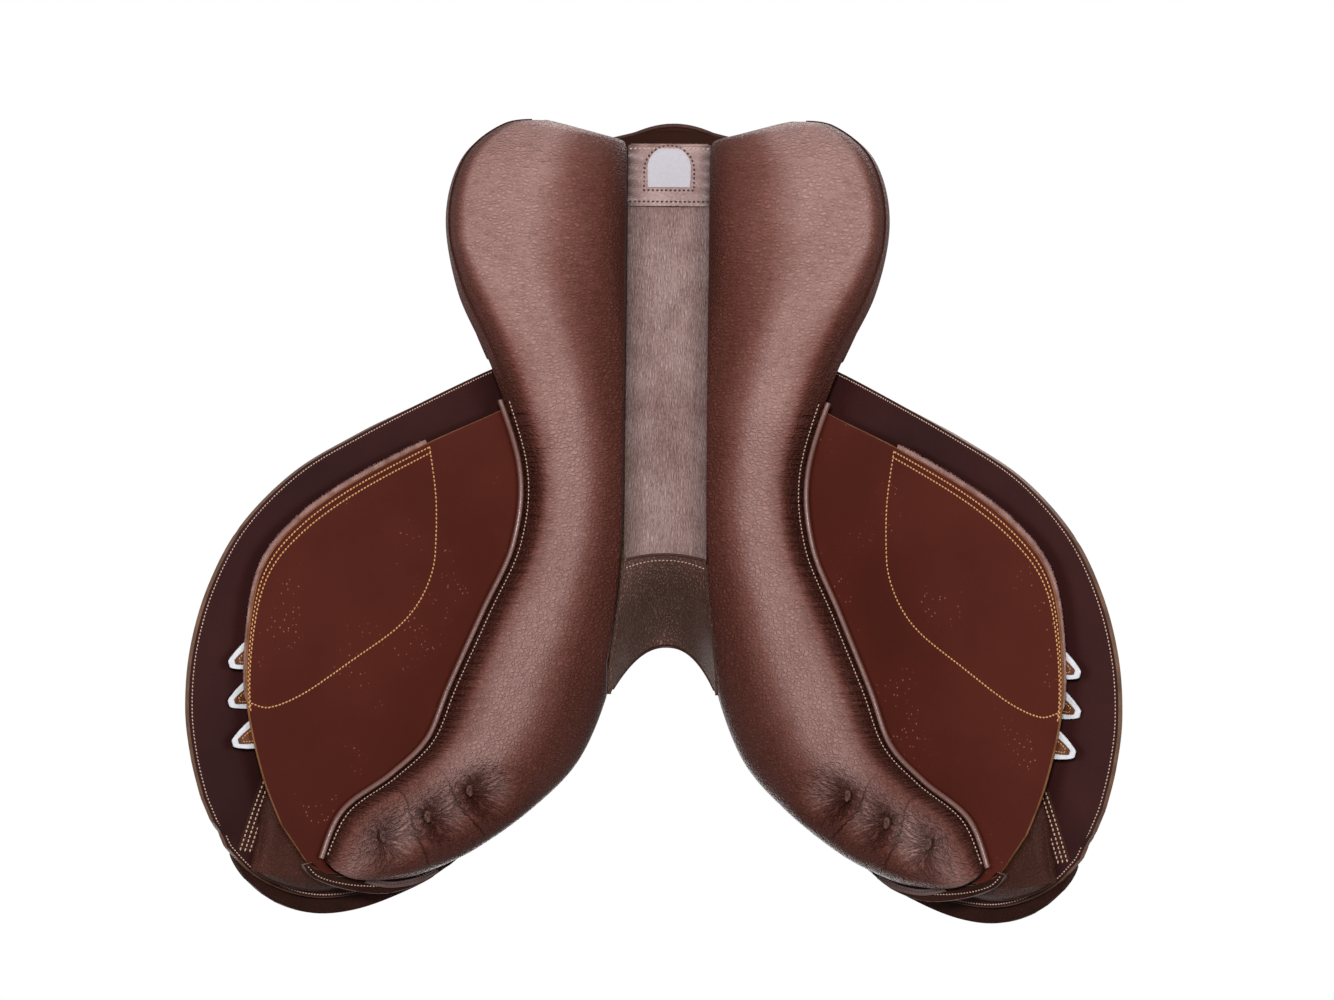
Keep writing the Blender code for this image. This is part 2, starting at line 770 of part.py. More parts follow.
def bent_bar(name, half, depth, taper, off, last, material, rows):
    """Strip bent over the arch: half its thickness, its depth fore and aft, how it narrows to its ends."""
    def place(a, t):
        share = 2 * t - 1
        side = 1.0 if share >= 0 else -1.0
        along = abs(share) * last
        here, wide, normal = head_frame(along, off, side)
        thick = mix(half, POINT_THICK / 2, smooth((along - 0.56) / 0.14))
        across, level = ((-1, -1), (1, -1), (1, 1), (-1, 1))[round(a * 4) % 4]
        wide_half = depth / 2 * mix(1.0, taper, smooth((along - 0.75) / 0.25))
        return here + wide * across * wide_half + normal * level * thick
    return loft(name, 4, rows, place, material)


def head_cover_place(side):
    """Leather over one leg of the head below the seat's rim, turned in over the leg's front edge."""
    def place(s, t, face):
        along = mix(COVER_START, COVER_END, t)
        here, wide, normal = head_frame(along, HEAD_OFF, side)
        thick = mix(HEAD_THICK / 2, POINT_THICK / 2, smooth((along - 0.56) / 0.14))
        out = 4 * GAP + face * HEAD_COVER_THICK
        front = -HEAD_DEPTH / 2 - out + 2 * GAP
        across = mix(front, HEAD_DEPTH / 2, max(1.5 * s - 0.5, 0.0))
        level = mix(-thick, thick + out, min(3 * s, 1.0))
        return here + wide * across + normal * level
    return place


def tab_place(s, t, face):
    """Rear tab that joins the panels under the cantle."""
    half = GULLET_WIDTH / 2 - LAYER_GAP
    x, y = mix(-half, half, s), mix(TAB_FRONT, TAB_REAR, t)
    hang = LINING_THICK + LAYER_GAP + 0.0025 * math.sin(math.pi * s)
    return Vector((x, y, back(x, y) - hang - face * LINING_THICK))


def badge_outline():
    """Arched badge plate, in millimetres about its middle."""
    w, h = BADGE_WIDTH / MM / 2, BADGE_HEIGHT / MM / 2
    crown = arc(0, h - w, w, 180, 0, 13)
    return [(w, -h), (-w, -h)] + crown


def panel_facing_place(side):
    """Thin leather that closes the front end of a panel, level with the sweat flap."""
    def place(s, t, face):
        xr, yr, xf, yf = through(FACING, t) * MM
        x, y = mix(xr, xf, s), mix(yr, yf, s)
        point = lay(x, y, face * SWEAT_THICK, SWEAT_THICK / 2)
        return Vector((point.x * side, point.y, point.z))
    return place


def billet_middle(billet, t):
    """Place in plan along a girth strap."""
    y0, x1, y1, upper = billet
    return mix(BILLET_ROOT_X, x1, t) * MM, mix(y0, y1, t) * MM


def billet_place(side, billet):
    """Girth strap with a pointed end, laid between the sweat flap and the flap."""
    offset = HIGH_BILLET if billet[3] else LOW_BILLET
    middle = offset + BILLET_THICK / 2
    tip = lay(*billet_middle(billet, 1.0), middle, middle)
    root = lay(*billet_middle(billet, 0.0), middle, middle)
    length = (tip - root).length

    def place(s, t, face):
        share = 1.0 - (1.0 - t) ** 1.5
        here = lay(*billet_middle(billet, share), middle, middle)
        ahead = lay(*billet_middle(billet, share + 0.01), middle, middle)
        n = back_normal(here.x, here.y)
        wide = n.cross(ahead - here).normalized()
        left = (1.0 - share) * length / BILLET_TAPER
        half = BILLET_WIDTH / 2 * min(1.0, 0.22 + 0.78 * left ** 0.75)
        x = here.x + wide.x * half * (2 * s - 1)
        y = here.y + wide.y * half * (2 * s - 1)
        point = lay(x, y, offset + face * BILLET_THICK, middle)
        return Vector((point.x * side, point.y, point.z))
    return place


def flap_share(x, y):
    """Shares s and t of a place on the flap."""
    low, high = 0.0, 1.0
    for step in range(20):
        t = (low + high) / 2
        xr, yr, xf, yf = through(FLAP, t) * MM
        if (xf - xr) * (y - yr) - (yf - yr) * (x - xr) > 0:
            low = t
        else:
            high = t
    xr, yr, xf, yf = through(FLAP, low) * MM
    along = Vector((xf - xr, yf - yr))
    return min(max(Vector((x - xr, y - yr)).dot(along) / along.length_squared, 0.0), 1.0), low


def flap_outer(x, y):
    """Distance of the flap's outer face off the back surface at a place in plan."""
    return flap_inner(*flap_share(x, y)) + FLAP_THICK


def block_place(side):
    """Knee block sewn to the flap's inner face: it fills the room between the flap and the sweat flap."""
    def place(s, t, face):
        tr, sr, tf, sf = through(KNEE_BLOCK, t)
        here_t, here_s = mix(tr, tf, s), mix(sr, sf, s)
        x, y = flap_plan(here_s, here_t)
        top = flap_inner(here_s, here_t) - LAYER_GAP
        edge = min(4 * s, 4 * (1 - s), 3 * t, 5 * (1 - t), 1.0)
        deep = mix(0.35, 1.0, math.sqrt(edge)) * (top - SWEAT_OUT - 2 * LAYER_GAP)
        offset = top - (1 - face) * deep
        point = lay(x, y, offset, top)
        return Vector((point.x * side, point.y, point.z))
    return place


def knee_pad_place(side):
    """Padded knee roll on the flap's outer face, which overhangs the flap's front lower edge."""
    def place(s, t, face):
        xr, yr, xf, yf = through(KNEE_PAD, t) * MM
        x, y = mix(xr, xf, s), mix(yr, yf, s)
        foot = flap_outer(x, y) + LAYER_GAP
        crown = (math.sin(math.pi * mix(0.06, 0.90, s)) * math.sin(math.pi * mix(0.10, 0.93, t))) ** 0.6
        point = lay(x, y, foot + face * KNEE_PAD_DEPTH * crown, foot)
        return Vector((point.x * side, point.y, point.z))
    return place


def pocket_place(side):
    """Leather pocket over the tree's point, sewn down to the sweat flap round its edge."""
    def place(s, t, face):
        xr, yr, xf, yf = through(POCKET, t) * MM
        x, y = mix(xr, xf, s), mix(yr, yf, s)
        inside = smooth(5 * min(s, 1 - s)) * smooth(6 * (1 - t))
        low = SWEAT_OUT + LAYER_GAP + inside * (POINT_THICK + 2 * LAYER_GAP)
        point = lay(x, y, low + face * POCKET_THICK, low)
        return Vector((point.x * side, point.y, point.z))
    return place


def keeper_place(side):
    """Keeper loop for the end of a stirrup leather, flat on the flap."""
    def place(s, t, face):
        x = (KEEPER_PLACE[0] * MM) + (s - 0.5) * KEEPER_WIDTH * math.cos(FRONT_SLOPE)
        y = (KEEPER_PLACE[1] + mix(-KEEPER_HALF_LENGTH, KEEPER_HALF_LENGTH, t)) * MM
        foot = flap_outer(x, y) + GAP
        lift = 0.0008 * math.sin(math.pi * t)
        point = lay(x, y, foot + lift + face * KEEPER_THICK, foot)
        return Vector((point.x * side, point.y, point.z))
    return place


def skirt_root(s):
    """Point of the skirt's seam under the seat's rim, rear to front."""
    u = share_at(SEAT, 0, mix(SKIRT_REAR, SKIRT_FRONT, s))
    return rim(u, 1, -0.001, COVER_THICK + 2 * LAYER_GAP + SKIRT_THICK / 2)


def skirt_point(s, t, face):
    """Point of the skirt: t runs from the seam to 0 at the fold and on to 1 at the lower edge."""
    root = skirt_root(s)
    xr, yr, xf, yf = np.asarray(SKIRT_FOLD) * MM
    fold = Vector((mix(xr, xf, s), mix(yr, yf, s)))
    low = Vector(through(SKIRT, s) * MM)
    strip, hang = (fold - root.xy).length, (low - fold).length
    if t < 0:
        plan = fold.lerp(root.xy, -t)
        share = (1 + t) * strip / (strip + hang)
    else:
        plan = fold.lerp(low, t)
        share = (strip + t * hang) / (strip + hang)
    start = (root.z - back(root.x, root.y)) * back_normal(root.x, root.y).z
    end = flap_outer(low.x, low.y) + 5 * GAP + SKIRT_THICK / 2
    level = mix(start, end, smooth(share / 0.8))
    rises_at = mix(0.0, 0.03, smooth((s - 0.42) / 0.2))
    over_bar = smooth((share - rises_at) / 0.15) * (1 - smooth((share - 0.40) / 0.42))
    beside = smooth((s - 0.04) / 0.26) * (1 - smooth((s - 0.74) / 0.24))
    level += max(BAR_TOP + 2 * LAYER_GAP + SKIRT_THICK / 2 - level, 0.0) * over_bar * beside
    return lay(plan.x, plan.y, level + (face - 0.5) * SKIRT_THICK, level)


def skirt_place(side):
    """Skirt over the stirrup bar, from its fold down onto the flap."""
    def place(s, t, face):
        point = skirt_point(s, t, face)
        return Vector((point.x * side, point.y, point.z))
    return place


def skirt_root_place(side):
    """Narrow strip of the skirt between the seat's seam and the fold."""
    def place(s, t, face):
        edge = LAYER_GAP / (skirt_point(s, 0, 0) - skirt_root(s)).length
        point = skirt_point(s, mix(-1, -edge, t), face)
        return Vector((point.x * side, point.y, point.z))
    return place


def skirt_axis(side):
    """Ends of the skirt's fold, on a straight line above the leather's upper face."""
    rear, front = skirt_point(0, 0, 1), skirt_point(1, 0, 1)
    lift = max((skirt_point(s, 0, 1) - rear.lerp(front, s)).z for s in np.linspace(0, 1, 13))
    ends = [rear + Vector((0, 0, lift)), front + Vector((0, 0, lift))]
    return [Vector((p.x * side, p.y, p.z)) for p in ends]


def bar_frame(side):
    """Frame of a stirrup bar: X to the rear along it, Y up the slope, Z off the horse, origin on the flap root."""
    mx, my = BAR_MIDDLE
    rx, ry = BAR_REAR
    at = FLAP_OUT + LAYER_GAP
    middle = lay(mx * MM, my * MM, at, at)
    rear = lay(rx * MM, ry * MM, at, at)
    along = (rear - middle).normalized()
    off = back_normal(middle.x, middle.y)
    off = (off - along * off.dot(along)).normalized()
    up = off.cross(along)
    if side < 0:
        middle, along, up, off = (Vector((-v.x, v.y, v.z)) for v in (middle, along, up, off))
    return Matrix(((along.x, up.x, off.x, middle.x), (along.y, up.y, off.y, middle.y),
                   (along.z, up.z, off.z, middle.z), (0, 0, 0, 1)))


def bar_profile():
    """Hook outline in millimetres seen along the slope: plate, round nose at the front, bar open to the rear.

    The bar's last length is thinner on its outer side, where the catch lies.
    """
    half = BAR_LENGTH / MM / 2
    plate, slot, bar = BAR_PLATE / MM, BAR_SLOT / MM, BAR_THICK / MM
    nose_in = arc(-half + bar + slot / 2, plate + slot / 2, slot / 2, 270, 90, 7)
    nose_out = arc(-half + (plate + slot + bar) / 2, (plate + slot + bar) / 2, (plate + slot + bar) / 2, 90, 270, 9)
    tongue = plate + slot + TONGUE_THICK / MM
    end = half - BAR_SHORT / MM
    shoulder = end - 2 * CATCH_ROUND / MM - 1.0
    tip = [(end, plate + slot), (end, tongue), (shoulder, tongue), (shoulder, plate + slot + bar)]
    return [(half, 0), (half, plate)] + nose_in + tip + nose_out


def as_mesh(thing):
    """Mesh object in the place of a curve object."""
    bpy.context.view_layer.update()
    mesh = bpy.data.meshes.new_from_object(thing.evaluated_get(bpy.context.evaluated_depsgraph_get()))
    bm = bmesh.new()
    bm.from_mesh(mesh)
    bmesh.ops.remove_doubles(bm, verts=bm.verts, dist=0.00001)
    bm.to_mesh(mesh)
    bm.free()
    solid = bpy.data.objects.new(thing.name + "_solid", mesh)
    solid.matrix_world = thing.matrix_world
    name = thing.name
    for collection in thing.users_collection:
        collection.objects.link(solid)
    bpy.data.objects.remove(thing)
    solid.name = name
    return solid


def cylinder(name, radius, depth, matrix, segments=20):
    """Cylinder about the Z axis of a frame, as a cutter."""
    bm = bmesh.new()
    bmesh.ops.create_cone(bm, cap_ends=True, segments=segments, radius1=radius, radius2=radius, depth=depth)
    mesh = bpy.data.meshes.new(name)
    bm.to_mesh(mesh)
    bm.free()
    thing = bpy.data.objects.new(name, mesh)
    thing.matrix_world = matrix
    thing.display_type = "WIRE"
    thing.hide_render = True
    cutters.objects.link(thing)
    return thing


def cut(thing, cutter):
    """Takes a cutter out of a piece."""
    change = thing.modifiers.new("cut_" + cutter.name, "BOOLEAN")
    change.object = cutter
    change.operation = "DIFFERENCE"
    change.solver = "EXACT"


def make_bar(side, hand):
    """Stirrup bar, the catch at its open end and the rivet that the catch turns on."""
    frame = bar_frame(side)
    turned = frame @ Matrix(((1, 0, 0, 0), (0, 0, -1, 0), (0, 1, 0, 0), (0, 0, 0, 1)))
    scale = Matrix.Scale(MM, 4)
    bar = outline("stirrup_bar_" + hand, [bar_profile()], BAR_HEIGHT / MM, turned @ scale, blued_steel)
    bar = as_mesh(bar)
    bar.data.transform(scale)
    bar.matrix_world = turned
    pivot_x = BAR_LENGTH / 2 - BAR_SHORT - CATCH_ROUND
    seat = BAR_PLATE + BAR_SLOT + TONGUE_THICK
    pivot = frame @ Matrix.Translation((pivot_x, 0, seat))
    cut(bar, cylinder("rivet_hole_" + hand, RIVET_RADIUS + GAP, 0.008, pivot))

    r, length, tail = CATCH_ROUND / MM, CATCH_LENGTH / MM, 3.4
    ring = arc(0, 0, r, 60, 300, 13) + arc(length - tail, 0, tail, -90, 90, 9)
    hole = arc(0, 0, (RIVET_RADIUS + GAP) / MM, 0, 340, 18)
    face = frame @ Matrix.Translation((pivot_x, 0, seat + GAP + CATCH_THICK / 2))
    catch = outline("bar_catch_" + hand, [ring, hole], CATCH_THICK / MM, face @ scale, bright_steel)
    catch = as_mesh(catch)
    catch.data.transform(scale)
    catch.matrix_world = face

    bm = bmesh.new()
    grip = TONGUE_THICK + CATCH_THICK + 3 * GAP
    profile = [(0, -RIVET_HEAD_THICK), (RIVET_HEAD, -RIVET_HEAD_THICK), (RIVET_HEAD, 0), (RIVET_RADIUS, 0),
               (RIVET_RADIUS, grip), (RIVET_HEAD, grip), (RIVET_HEAD, grip + RIVET_HEAD_THICK * 0.5),
               (RIVET_HEAD * 0.6, grip + RIVET_HEAD_THICK), (0, grip + RIVET_HEAD_THICK)]
    knots = [bm.verts.new((x, 0, z)) for x, z in profile]
    edges = [bm.edges.new(pair) for pair in zip(knots, knots[1:])]
    bmesh.ops.spin(bm, geom=knots + edges, axis=(0, 0, 1), cent=(0, 0, 0), angle=math.tau, steps=14, use_merge=True)
    bmesh.ops.remove_doubles(bm, verts=bm.verts, dist=0.000005)
    rivet_place = frame @ Matrix.Translation((pivot_x, 0, seat - TONGUE_THICK - GAP))
    bmesh.ops.transform(bm, matrix=rivet_place, verts=bm.verts)
    add_mesh("catch_rivet_" + hand, bm, bright_steel)
    print("catch", hand, [round(c, 5) for c in face.translation],
          [round(c, 5) for c in (face.to_3x3() @ Vector((0, 0, 1)))])


def nail(side, hand):
    """Domed nail head that holds the seat at the pommel."""
    u, v = NAIL_PLACE
    here = seat_point(u, v * side)
    across = seat_point(u, (v + 0.01) * side) - seat_point(u, (v - 0.01) * side)
    along = seat_point(u + 0.005, v * side) - seat_point(u - 0.005, v * side)
    n = along.cross(across).normalized()
    if n.z < 0:
        n = -n
    bm = bmesh.new()
    bmesh.ops.create_uvsphere(bm, u_segments=14, v_segments=8, radius=NAIL_RADIUS)
    bmesh.ops.bisect_plane(bm, geom=bm.verts[:] + bm.edges[:] + bm.faces[:], plane_co=(0, 0, 0),
                           plane_no=(0, 0, 1), clear_inner=True)
    bmesh.ops.holes_fill(bm, edges=[e for e in bm.edges if e.is_boundary], sides=0)
    bmesh.ops.scale(bm, verts=bm.verts, vec=(1, 1, NAIL_HEIGHT / NAIL_RADIUS))
    turn = n.to_track_quat("Z", "Y").to_matrix().to_4x4()
    seated = Matrix.Translation(here + n * LAYER_GAP) @ turn
    bmesh.ops.transform(bm, matrix=seated, verts=bm.verts)
    add_mesh("pommel_nail_" + hand, bm, bright_steel)


slab("gullet_lining", 4, 14, gullet_lining_place, lining_hide)
slab("head_lining", 14, 7, head_lining_place, head_hide)
slab("pommel_facing", 18, 2, facing_place, seat_hide)
slab("rear_tab", 6, 4, tab_place, grained)
bent_bar("tree_head", HEAD_THICK / 2, HEAD_DEPTH, 0.60, HEAD_OFF, 1.0, beech, 40)
bent_bar("gullet_plate", PLATE_THICK / 2, HEAD_DEPTH * 0.9, 1.0, PLATE_OFF, 0.56, blued_steel, 24)
badge_level = back(0, BADGE_Y) - LINING_THICK * 2 - LAYER_GAP - 0.0025 - GAP - BADGE_THICK / 2
badge_place = Matrix.Translation((0, BADGE_Y, badge_level)) @ Matrix.Scale(MM, 4)
badge = as_mesh(outline("badge_plate", [badge_outline()], BADGE_THICK / MM, badge_place, badge_enamel))
badge.data.transform(Matrix.Scale(MM, 4))
badge.matrix_world = Matrix.Translation((0, BADGE_Y, badge_level))

for side, hand in ((1, "left"), (-1, "right")):
    rear, front = fold_axis(side)
    fold_middle = (rear + front) / 2
    print("fold", hand, [round(c, 5) for c in rear], [round(c, 5) for c in front])
    loft("panel_" + hand, 22, 36, panel_place(side), grained)
    slab("sweat_flap_" + hand, 8, 12, sweat_place(side), sweat_hide)
    slab("flap_" + hand, 9, 14, flap_place(side), flap_hide, fold_middle)
    slab("flap_root_" + hand, 9, 5, root_place(side), flap_hide)
    tube("panel_piping_" + hand, seam_points(side, 28), PIPING_RADIUS, grained)
    slab("tree_spring_" + hand, 1, 10, spring_place(side), blued_steel)
    slab("panel_facing_" + hand, 2, 8, panel_facing_place(side), grained)
    for number, billet in enumerate(BILLETS, 1):
        pivot_share = (BILLET_PIVOT_X - BILLET_ROOT_X) / (billet[1] - BILLET_ROOT_X)
        offset = (HIGH_BILLET if billet[3] else LOW_BILLET) + BILLET_THICK / 2
        pivot = lay(*billet_middle(billet, pivot_share), offset, offset)
        pivot.x *= side
        print("billet", number, hand, [round(c, 5) for c in pivot])
        slab("billet_%d_%s" % (number, hand), 2, 14, billet_place(side, billet), strap_hide, pivot)
    slab("knee_block_" + hand, 6, 8, block_place(side), grained, fold_middle)
    slab("knee_pad_" + hand, 7, 12, knee_pad_place(side), grained, fold_middle)
    slab("head_cover_" + hand, 3, 5, head_cover_place(side), seat_hide)
    slab("point_pocket_" + hand, 5, 6, pocket_place(side), strap_hide)
    slab("keeper_" + hand, 2, 4, keeper_place(side), flap_hide, fold_middle)
    ends = skirt_axis(side)
    print("skirt", hand, [round(c, 5) for c in ends[0]], [round(c, 5) for c in ends[1]])
    slab("skirt_" + hand, 12, 8, skirt_place(side), flap_hide, (ends[0] + ends[1]) / 2)
    slab("skirt_root_" + hand, 12, 2, skirt_root_place(side), flap_hide)
    make_bar(side, hand)
    nail(side, hand)
normal = back_normal(BILLET_NORMAL_X * MM, BILLETS[1][2] * MM)
print("billet axis", [round(c, 5) for c in normal])
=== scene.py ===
"""Close contact jumping saddle, seen from its panels as it lies upside down in a studio."""
import math

import bmesh
import bpy
import numpy as np
from mathutils import Matrix, Vector


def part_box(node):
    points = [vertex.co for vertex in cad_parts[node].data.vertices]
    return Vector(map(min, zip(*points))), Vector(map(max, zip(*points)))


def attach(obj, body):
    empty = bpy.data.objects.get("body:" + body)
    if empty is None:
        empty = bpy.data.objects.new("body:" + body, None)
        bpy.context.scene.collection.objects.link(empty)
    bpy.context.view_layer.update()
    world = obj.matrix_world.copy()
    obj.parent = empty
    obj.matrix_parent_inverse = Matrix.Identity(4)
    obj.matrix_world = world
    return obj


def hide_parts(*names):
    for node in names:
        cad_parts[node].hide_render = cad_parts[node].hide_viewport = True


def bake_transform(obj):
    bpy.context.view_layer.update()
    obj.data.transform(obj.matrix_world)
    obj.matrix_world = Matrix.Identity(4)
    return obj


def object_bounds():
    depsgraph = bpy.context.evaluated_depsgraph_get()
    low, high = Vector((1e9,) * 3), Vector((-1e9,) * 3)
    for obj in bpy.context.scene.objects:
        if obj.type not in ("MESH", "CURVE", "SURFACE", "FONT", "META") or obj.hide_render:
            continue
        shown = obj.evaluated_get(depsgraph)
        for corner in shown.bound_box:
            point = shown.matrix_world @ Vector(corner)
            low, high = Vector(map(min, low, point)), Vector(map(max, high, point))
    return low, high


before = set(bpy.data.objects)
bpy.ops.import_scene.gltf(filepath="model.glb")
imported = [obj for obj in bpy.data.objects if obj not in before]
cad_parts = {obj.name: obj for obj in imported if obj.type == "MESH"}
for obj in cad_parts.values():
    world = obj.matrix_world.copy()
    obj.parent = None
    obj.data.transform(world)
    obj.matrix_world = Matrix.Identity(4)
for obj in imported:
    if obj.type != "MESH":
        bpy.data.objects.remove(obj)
cad_box = [list(corner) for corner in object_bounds()]


# The tree: a frame of laminated beech with a head bent over the withers, which gives the saddle its shape.
# Two blued spring steels run along its rails and a steel plate stiffens the arch. Leather covers nearly all of it.
def srgb(*screen):
    """Linear colour of a screen colour of 0 to 255."""
    return tuple(c / 3294.6 if c <= 10 else ((c / 255 + 0.055) / 1.055) ** 2.4 for c in screen) + (1.0,)


def start_material(name, roughness, level=0.5, metallic=0.0):
    """New material, its nodes and its shader, with the surface values that are the same all over."""
    skin = bpy.data.materials.new(name)
    skin.use_nodes = True
    shader = skin.node_tree.nodes["Principled BSDF"]
    for key, value in (("Roughness", roughness), ("Specular IOR Level", level), ("Metallic", metallic)):
        shader.inputs[key].default_value = value
    return skin, skin.node_tree, shader


def add_node(tree, kind, settings=None, **inputs):
    """Shader node; each input is a plain value or the output that feeds it, and _0 and _1 name inputs by number."""
    made = tree.nodes.new("ShaderNode" + kind)
    for key, value in (settings or {}).items():
        setattr(made, key, value)
    for key, value in inputs.items():
        socket = made.inputs[int(key[1:])] if key[0] == "_" else made.inputs[key.replace("_", " ")]
        if isinstance(value, bpy.types.NodeSocket):
            tree.links.new(value, socket)
        else:
            socket.default_value = value
    return made


def spot_on(tree, scale=None):
    """Place on the object in metres, scaled along its axes if asked."""
    where = add_node(tree, "TexCoord").outputs["Object"]
    return add_node(tree, "Mapping", Vector=where, Scale=scale).outputs[0] if scale else where


def noise(tree, where, scale, detail, **more):
    """Cloudy value around a half."""
    return add_node(tree, "TexNoise", Vector=where, Scale=scale, Detail=detail, **more).outputs["Fac"]


def remap(tree, value, start, end, low=0.0, high=1.0, ease="LINEAR"):
    """Value moved from one range to another and held inside it."""
    return add_node(tree, "MapRange", {"interpolation_type": ease}, Value=value, From_Min=start, From_Max=end,
                    To_Min=low, To_Max=high).outputs[0]


def ramp(tree, factor, *stops):
    """Colour that runs through (place, screen colour) stops."""
    made = add_node(tree, "ValToRGB", Fac=factor)
    line = made.color_ramp
    while len(line.elements) < len(stops):
        line.elements.new(0.5)
    for element, (place, screen) in zip(line.elements, stops):
        element.position = place
        element.color = srgb(*screen)
    return made.outputs["Color"]


def tint(tree, shader, colour):
    """Feeds the shader's colour."""
    tree.links.new(colour, shader.inputs["Base Color"])


def press(tree, shader, height, depth):
    """Bump of a real depth in metres."""
    made = add_node(tree, "Bump", Height=height, Strength=1.0, Distance=depth)
    tree.links.new(made.outputs["Normal"], shader.inputs["Normal"])


beech, nodes, shader = start_material("laminated_beech", 0.62)
plies = add_node(nodes, "TexWave", {"bands_direction": "Z"}, Vector=spot_on(nodes), Scale=160.0, Distortion=1.4,
                 Detail=2.0)
fibre = noise(nodes, spot_on(nodes, (900, 60, 900)), 1.0, 4.0)
blend = add_node(nodes, "Mix", {"data_type": "FLOAT"}, _0=0.35, _2=fibre, _3=plies.outputs["Fac"])
tint(nodes, shader, ramp(nodes, blend.outputs[0], (0.25, (148, 110, 70)), (0.7, (196, 160, 112))))
press(nodes, shader, fibre, 0.0002)


def steel(name, dark, light, roughness):
    """Steel with fine draw lines and a slow change of tone."""
    skin, nodes, shader = start_material(name, roughness, metallic=1.0)
    lines = noise(nodes, spot_on(nodes, (200, 2400, 2400)), 1.0, 3.0)
    tint(nodes, shader, ramp(nodes, noise(nodes, spot_on(nodes), 60.0, 3.0), (0.3, dark), (0.7, light)))
    nodes.links.new(remap(nodes, lines, 0.0, 1.0, roughness - 0.08, roughness + 0.12), shader.inputs["Roughness"])
    press(nodes, shader, lines, 0.00003)
    return skin


blued_steel = steel("blued_steel", (52, 54, 62), (88, 90, 98), 0.36)
bright_steel = steel("stainless_steel", (176, 176, 174), (210, 210, 208), 0.22)
for skin, names in ((beech, "tree tree_head"),
                    (blued_steel, "gullet_plate tree_spring_left tree_spring_right stirrup_bar_left stirrup_bar_right"),
                    (bright_steel, "catch_rivet_left catch_rivet_right bar_catch_left bar_catch_right "
                                   "pommel_nail_left pommel_nail_right")):
    for name in names.split():
        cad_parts[name].data.materials.clear()
        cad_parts[name].data.materials.append(skin)

# The seat: foam on crossed webbing under one blocked hide, which is nailed at the pommel and sewn at the cantle.
# Its cover is a smooth calf, drawn tight, with a round welt sewn along the rim.
MM = 0.001
LAYER_GAP = 0.0006
COVER_THICK = 0.0024
FOAM_THICK = 0.0130
WEB_THICK = 0.0014
WELT_RADIUS = 0.0022
SEAT = [(-188, 48, 127, 0, 80), (-165, 54, 142, 0, 72), (-120, 65, 128, 0, 68), (-60, 81, 104, 0, 62),
        (0, 97, 93, 2, 59), (60, 119, 93, 7, 60), (120, 143, 101, 14, 66), (180, 146, 119, 17, 88),
        (230, 122, 143, 11, 119), (262, 82, 160, 5, 148), (280, 34, 168, 1, 165)]


def smooth(t):
    """Eases from 0 to 1."""
    t = np.clip(t, 0.0, 1.0)
    return t * t * (3.0 - 2.0 * t)


def mix(a, b, t):
    """Value between two values."""
    return a + (b - a) * t


def through(stations, u):
    """Columns of a smooth curve through the stations at the shares u."""
    s, u = np.asarray(stations, float), np.asarray(u, float)
    last = len(s) - 1
    k = np.clip((np.maximum(u, 0) * last).astype(int), 0, last - 1)
    f = (u * last - k)[..., None]
    p0, p1, p2, p3 = s[np.maximum(k - 1, 0)], s[k], s[k + 1], s[np.minimum(k + 2, last)]
    curve = 2 * p1 + (p2 - p0) * f + (2 * p0 - 5 * p1 + 4 * p2 - p3) * f ** 2
    return np.moveaxis(0.5 * (curve + (3 * p1 - p0 - 3 * p2 + p3) * f ** 3), -1, 0)


def seat_share(value):
    """Shares from the pommel to the cantle at which the seat's rim reaches the values of y, in mm."""
    low = np.zeros_like(np.asarray(value, float))
    high = low + 1.0
    for step in range(26):
        middle = (low + high) / 2
        under = through(SEAT, middle)[0] < value
        low, high = np.where(under, middle, low), np.where(under, high, middle)
    return (low + high) / 2


def points(x, y, z):
    """Array of points from their coordinates."""
    return np.stack(np.broadcast_arrays(x, y, z), axis=-1)


def unit(v):
    """Vectors of length one."""
    return v / np.maximum(np.linalg.norm(v, axis=-1, keepdims=True), 1e-9)


def rear_bow(u, v):
    """How far the rear of the seat bows forward at its sides."""
    return 0.008 * smooth((u - 0.75) / 0.25) * v * v


def seat_point(u, v, below=0.0):
    """Points on the seat, u from the pommel to the cantle and v across it, a distance below its top."""
    y, width, centre, dish, rim_height = through(SEAT, u) * MM
    fall = centre + dish - rim_height
    return points(width * v, y - rear_bow(u, v), centre + dish * v * v - fall * np.abs(v) ** 6 - below)


def seat_height(x, y):
    """Height of the seat's top at places in plan."""
    behind = 0.0
    for step in range(3):
        u = seat_share((y + behind) / MM)
        v = np.minimum(np.abs(x) / (through(SEAT, u)[1] * MM), 1.0)
        behind = rear_bow(u, v)
    return seat_point(u, v)[..., 2]


def lay_grid(verts, place):
    """Moves the vertices of a unit grid to place(s, t), both from 0 to 1."""
    st = np.array([v.co[:2] for v in verts]) + 0.5
    for v, spot in zip(verts, place(st[:, 0], st[:, 1])):
        v.co = spot


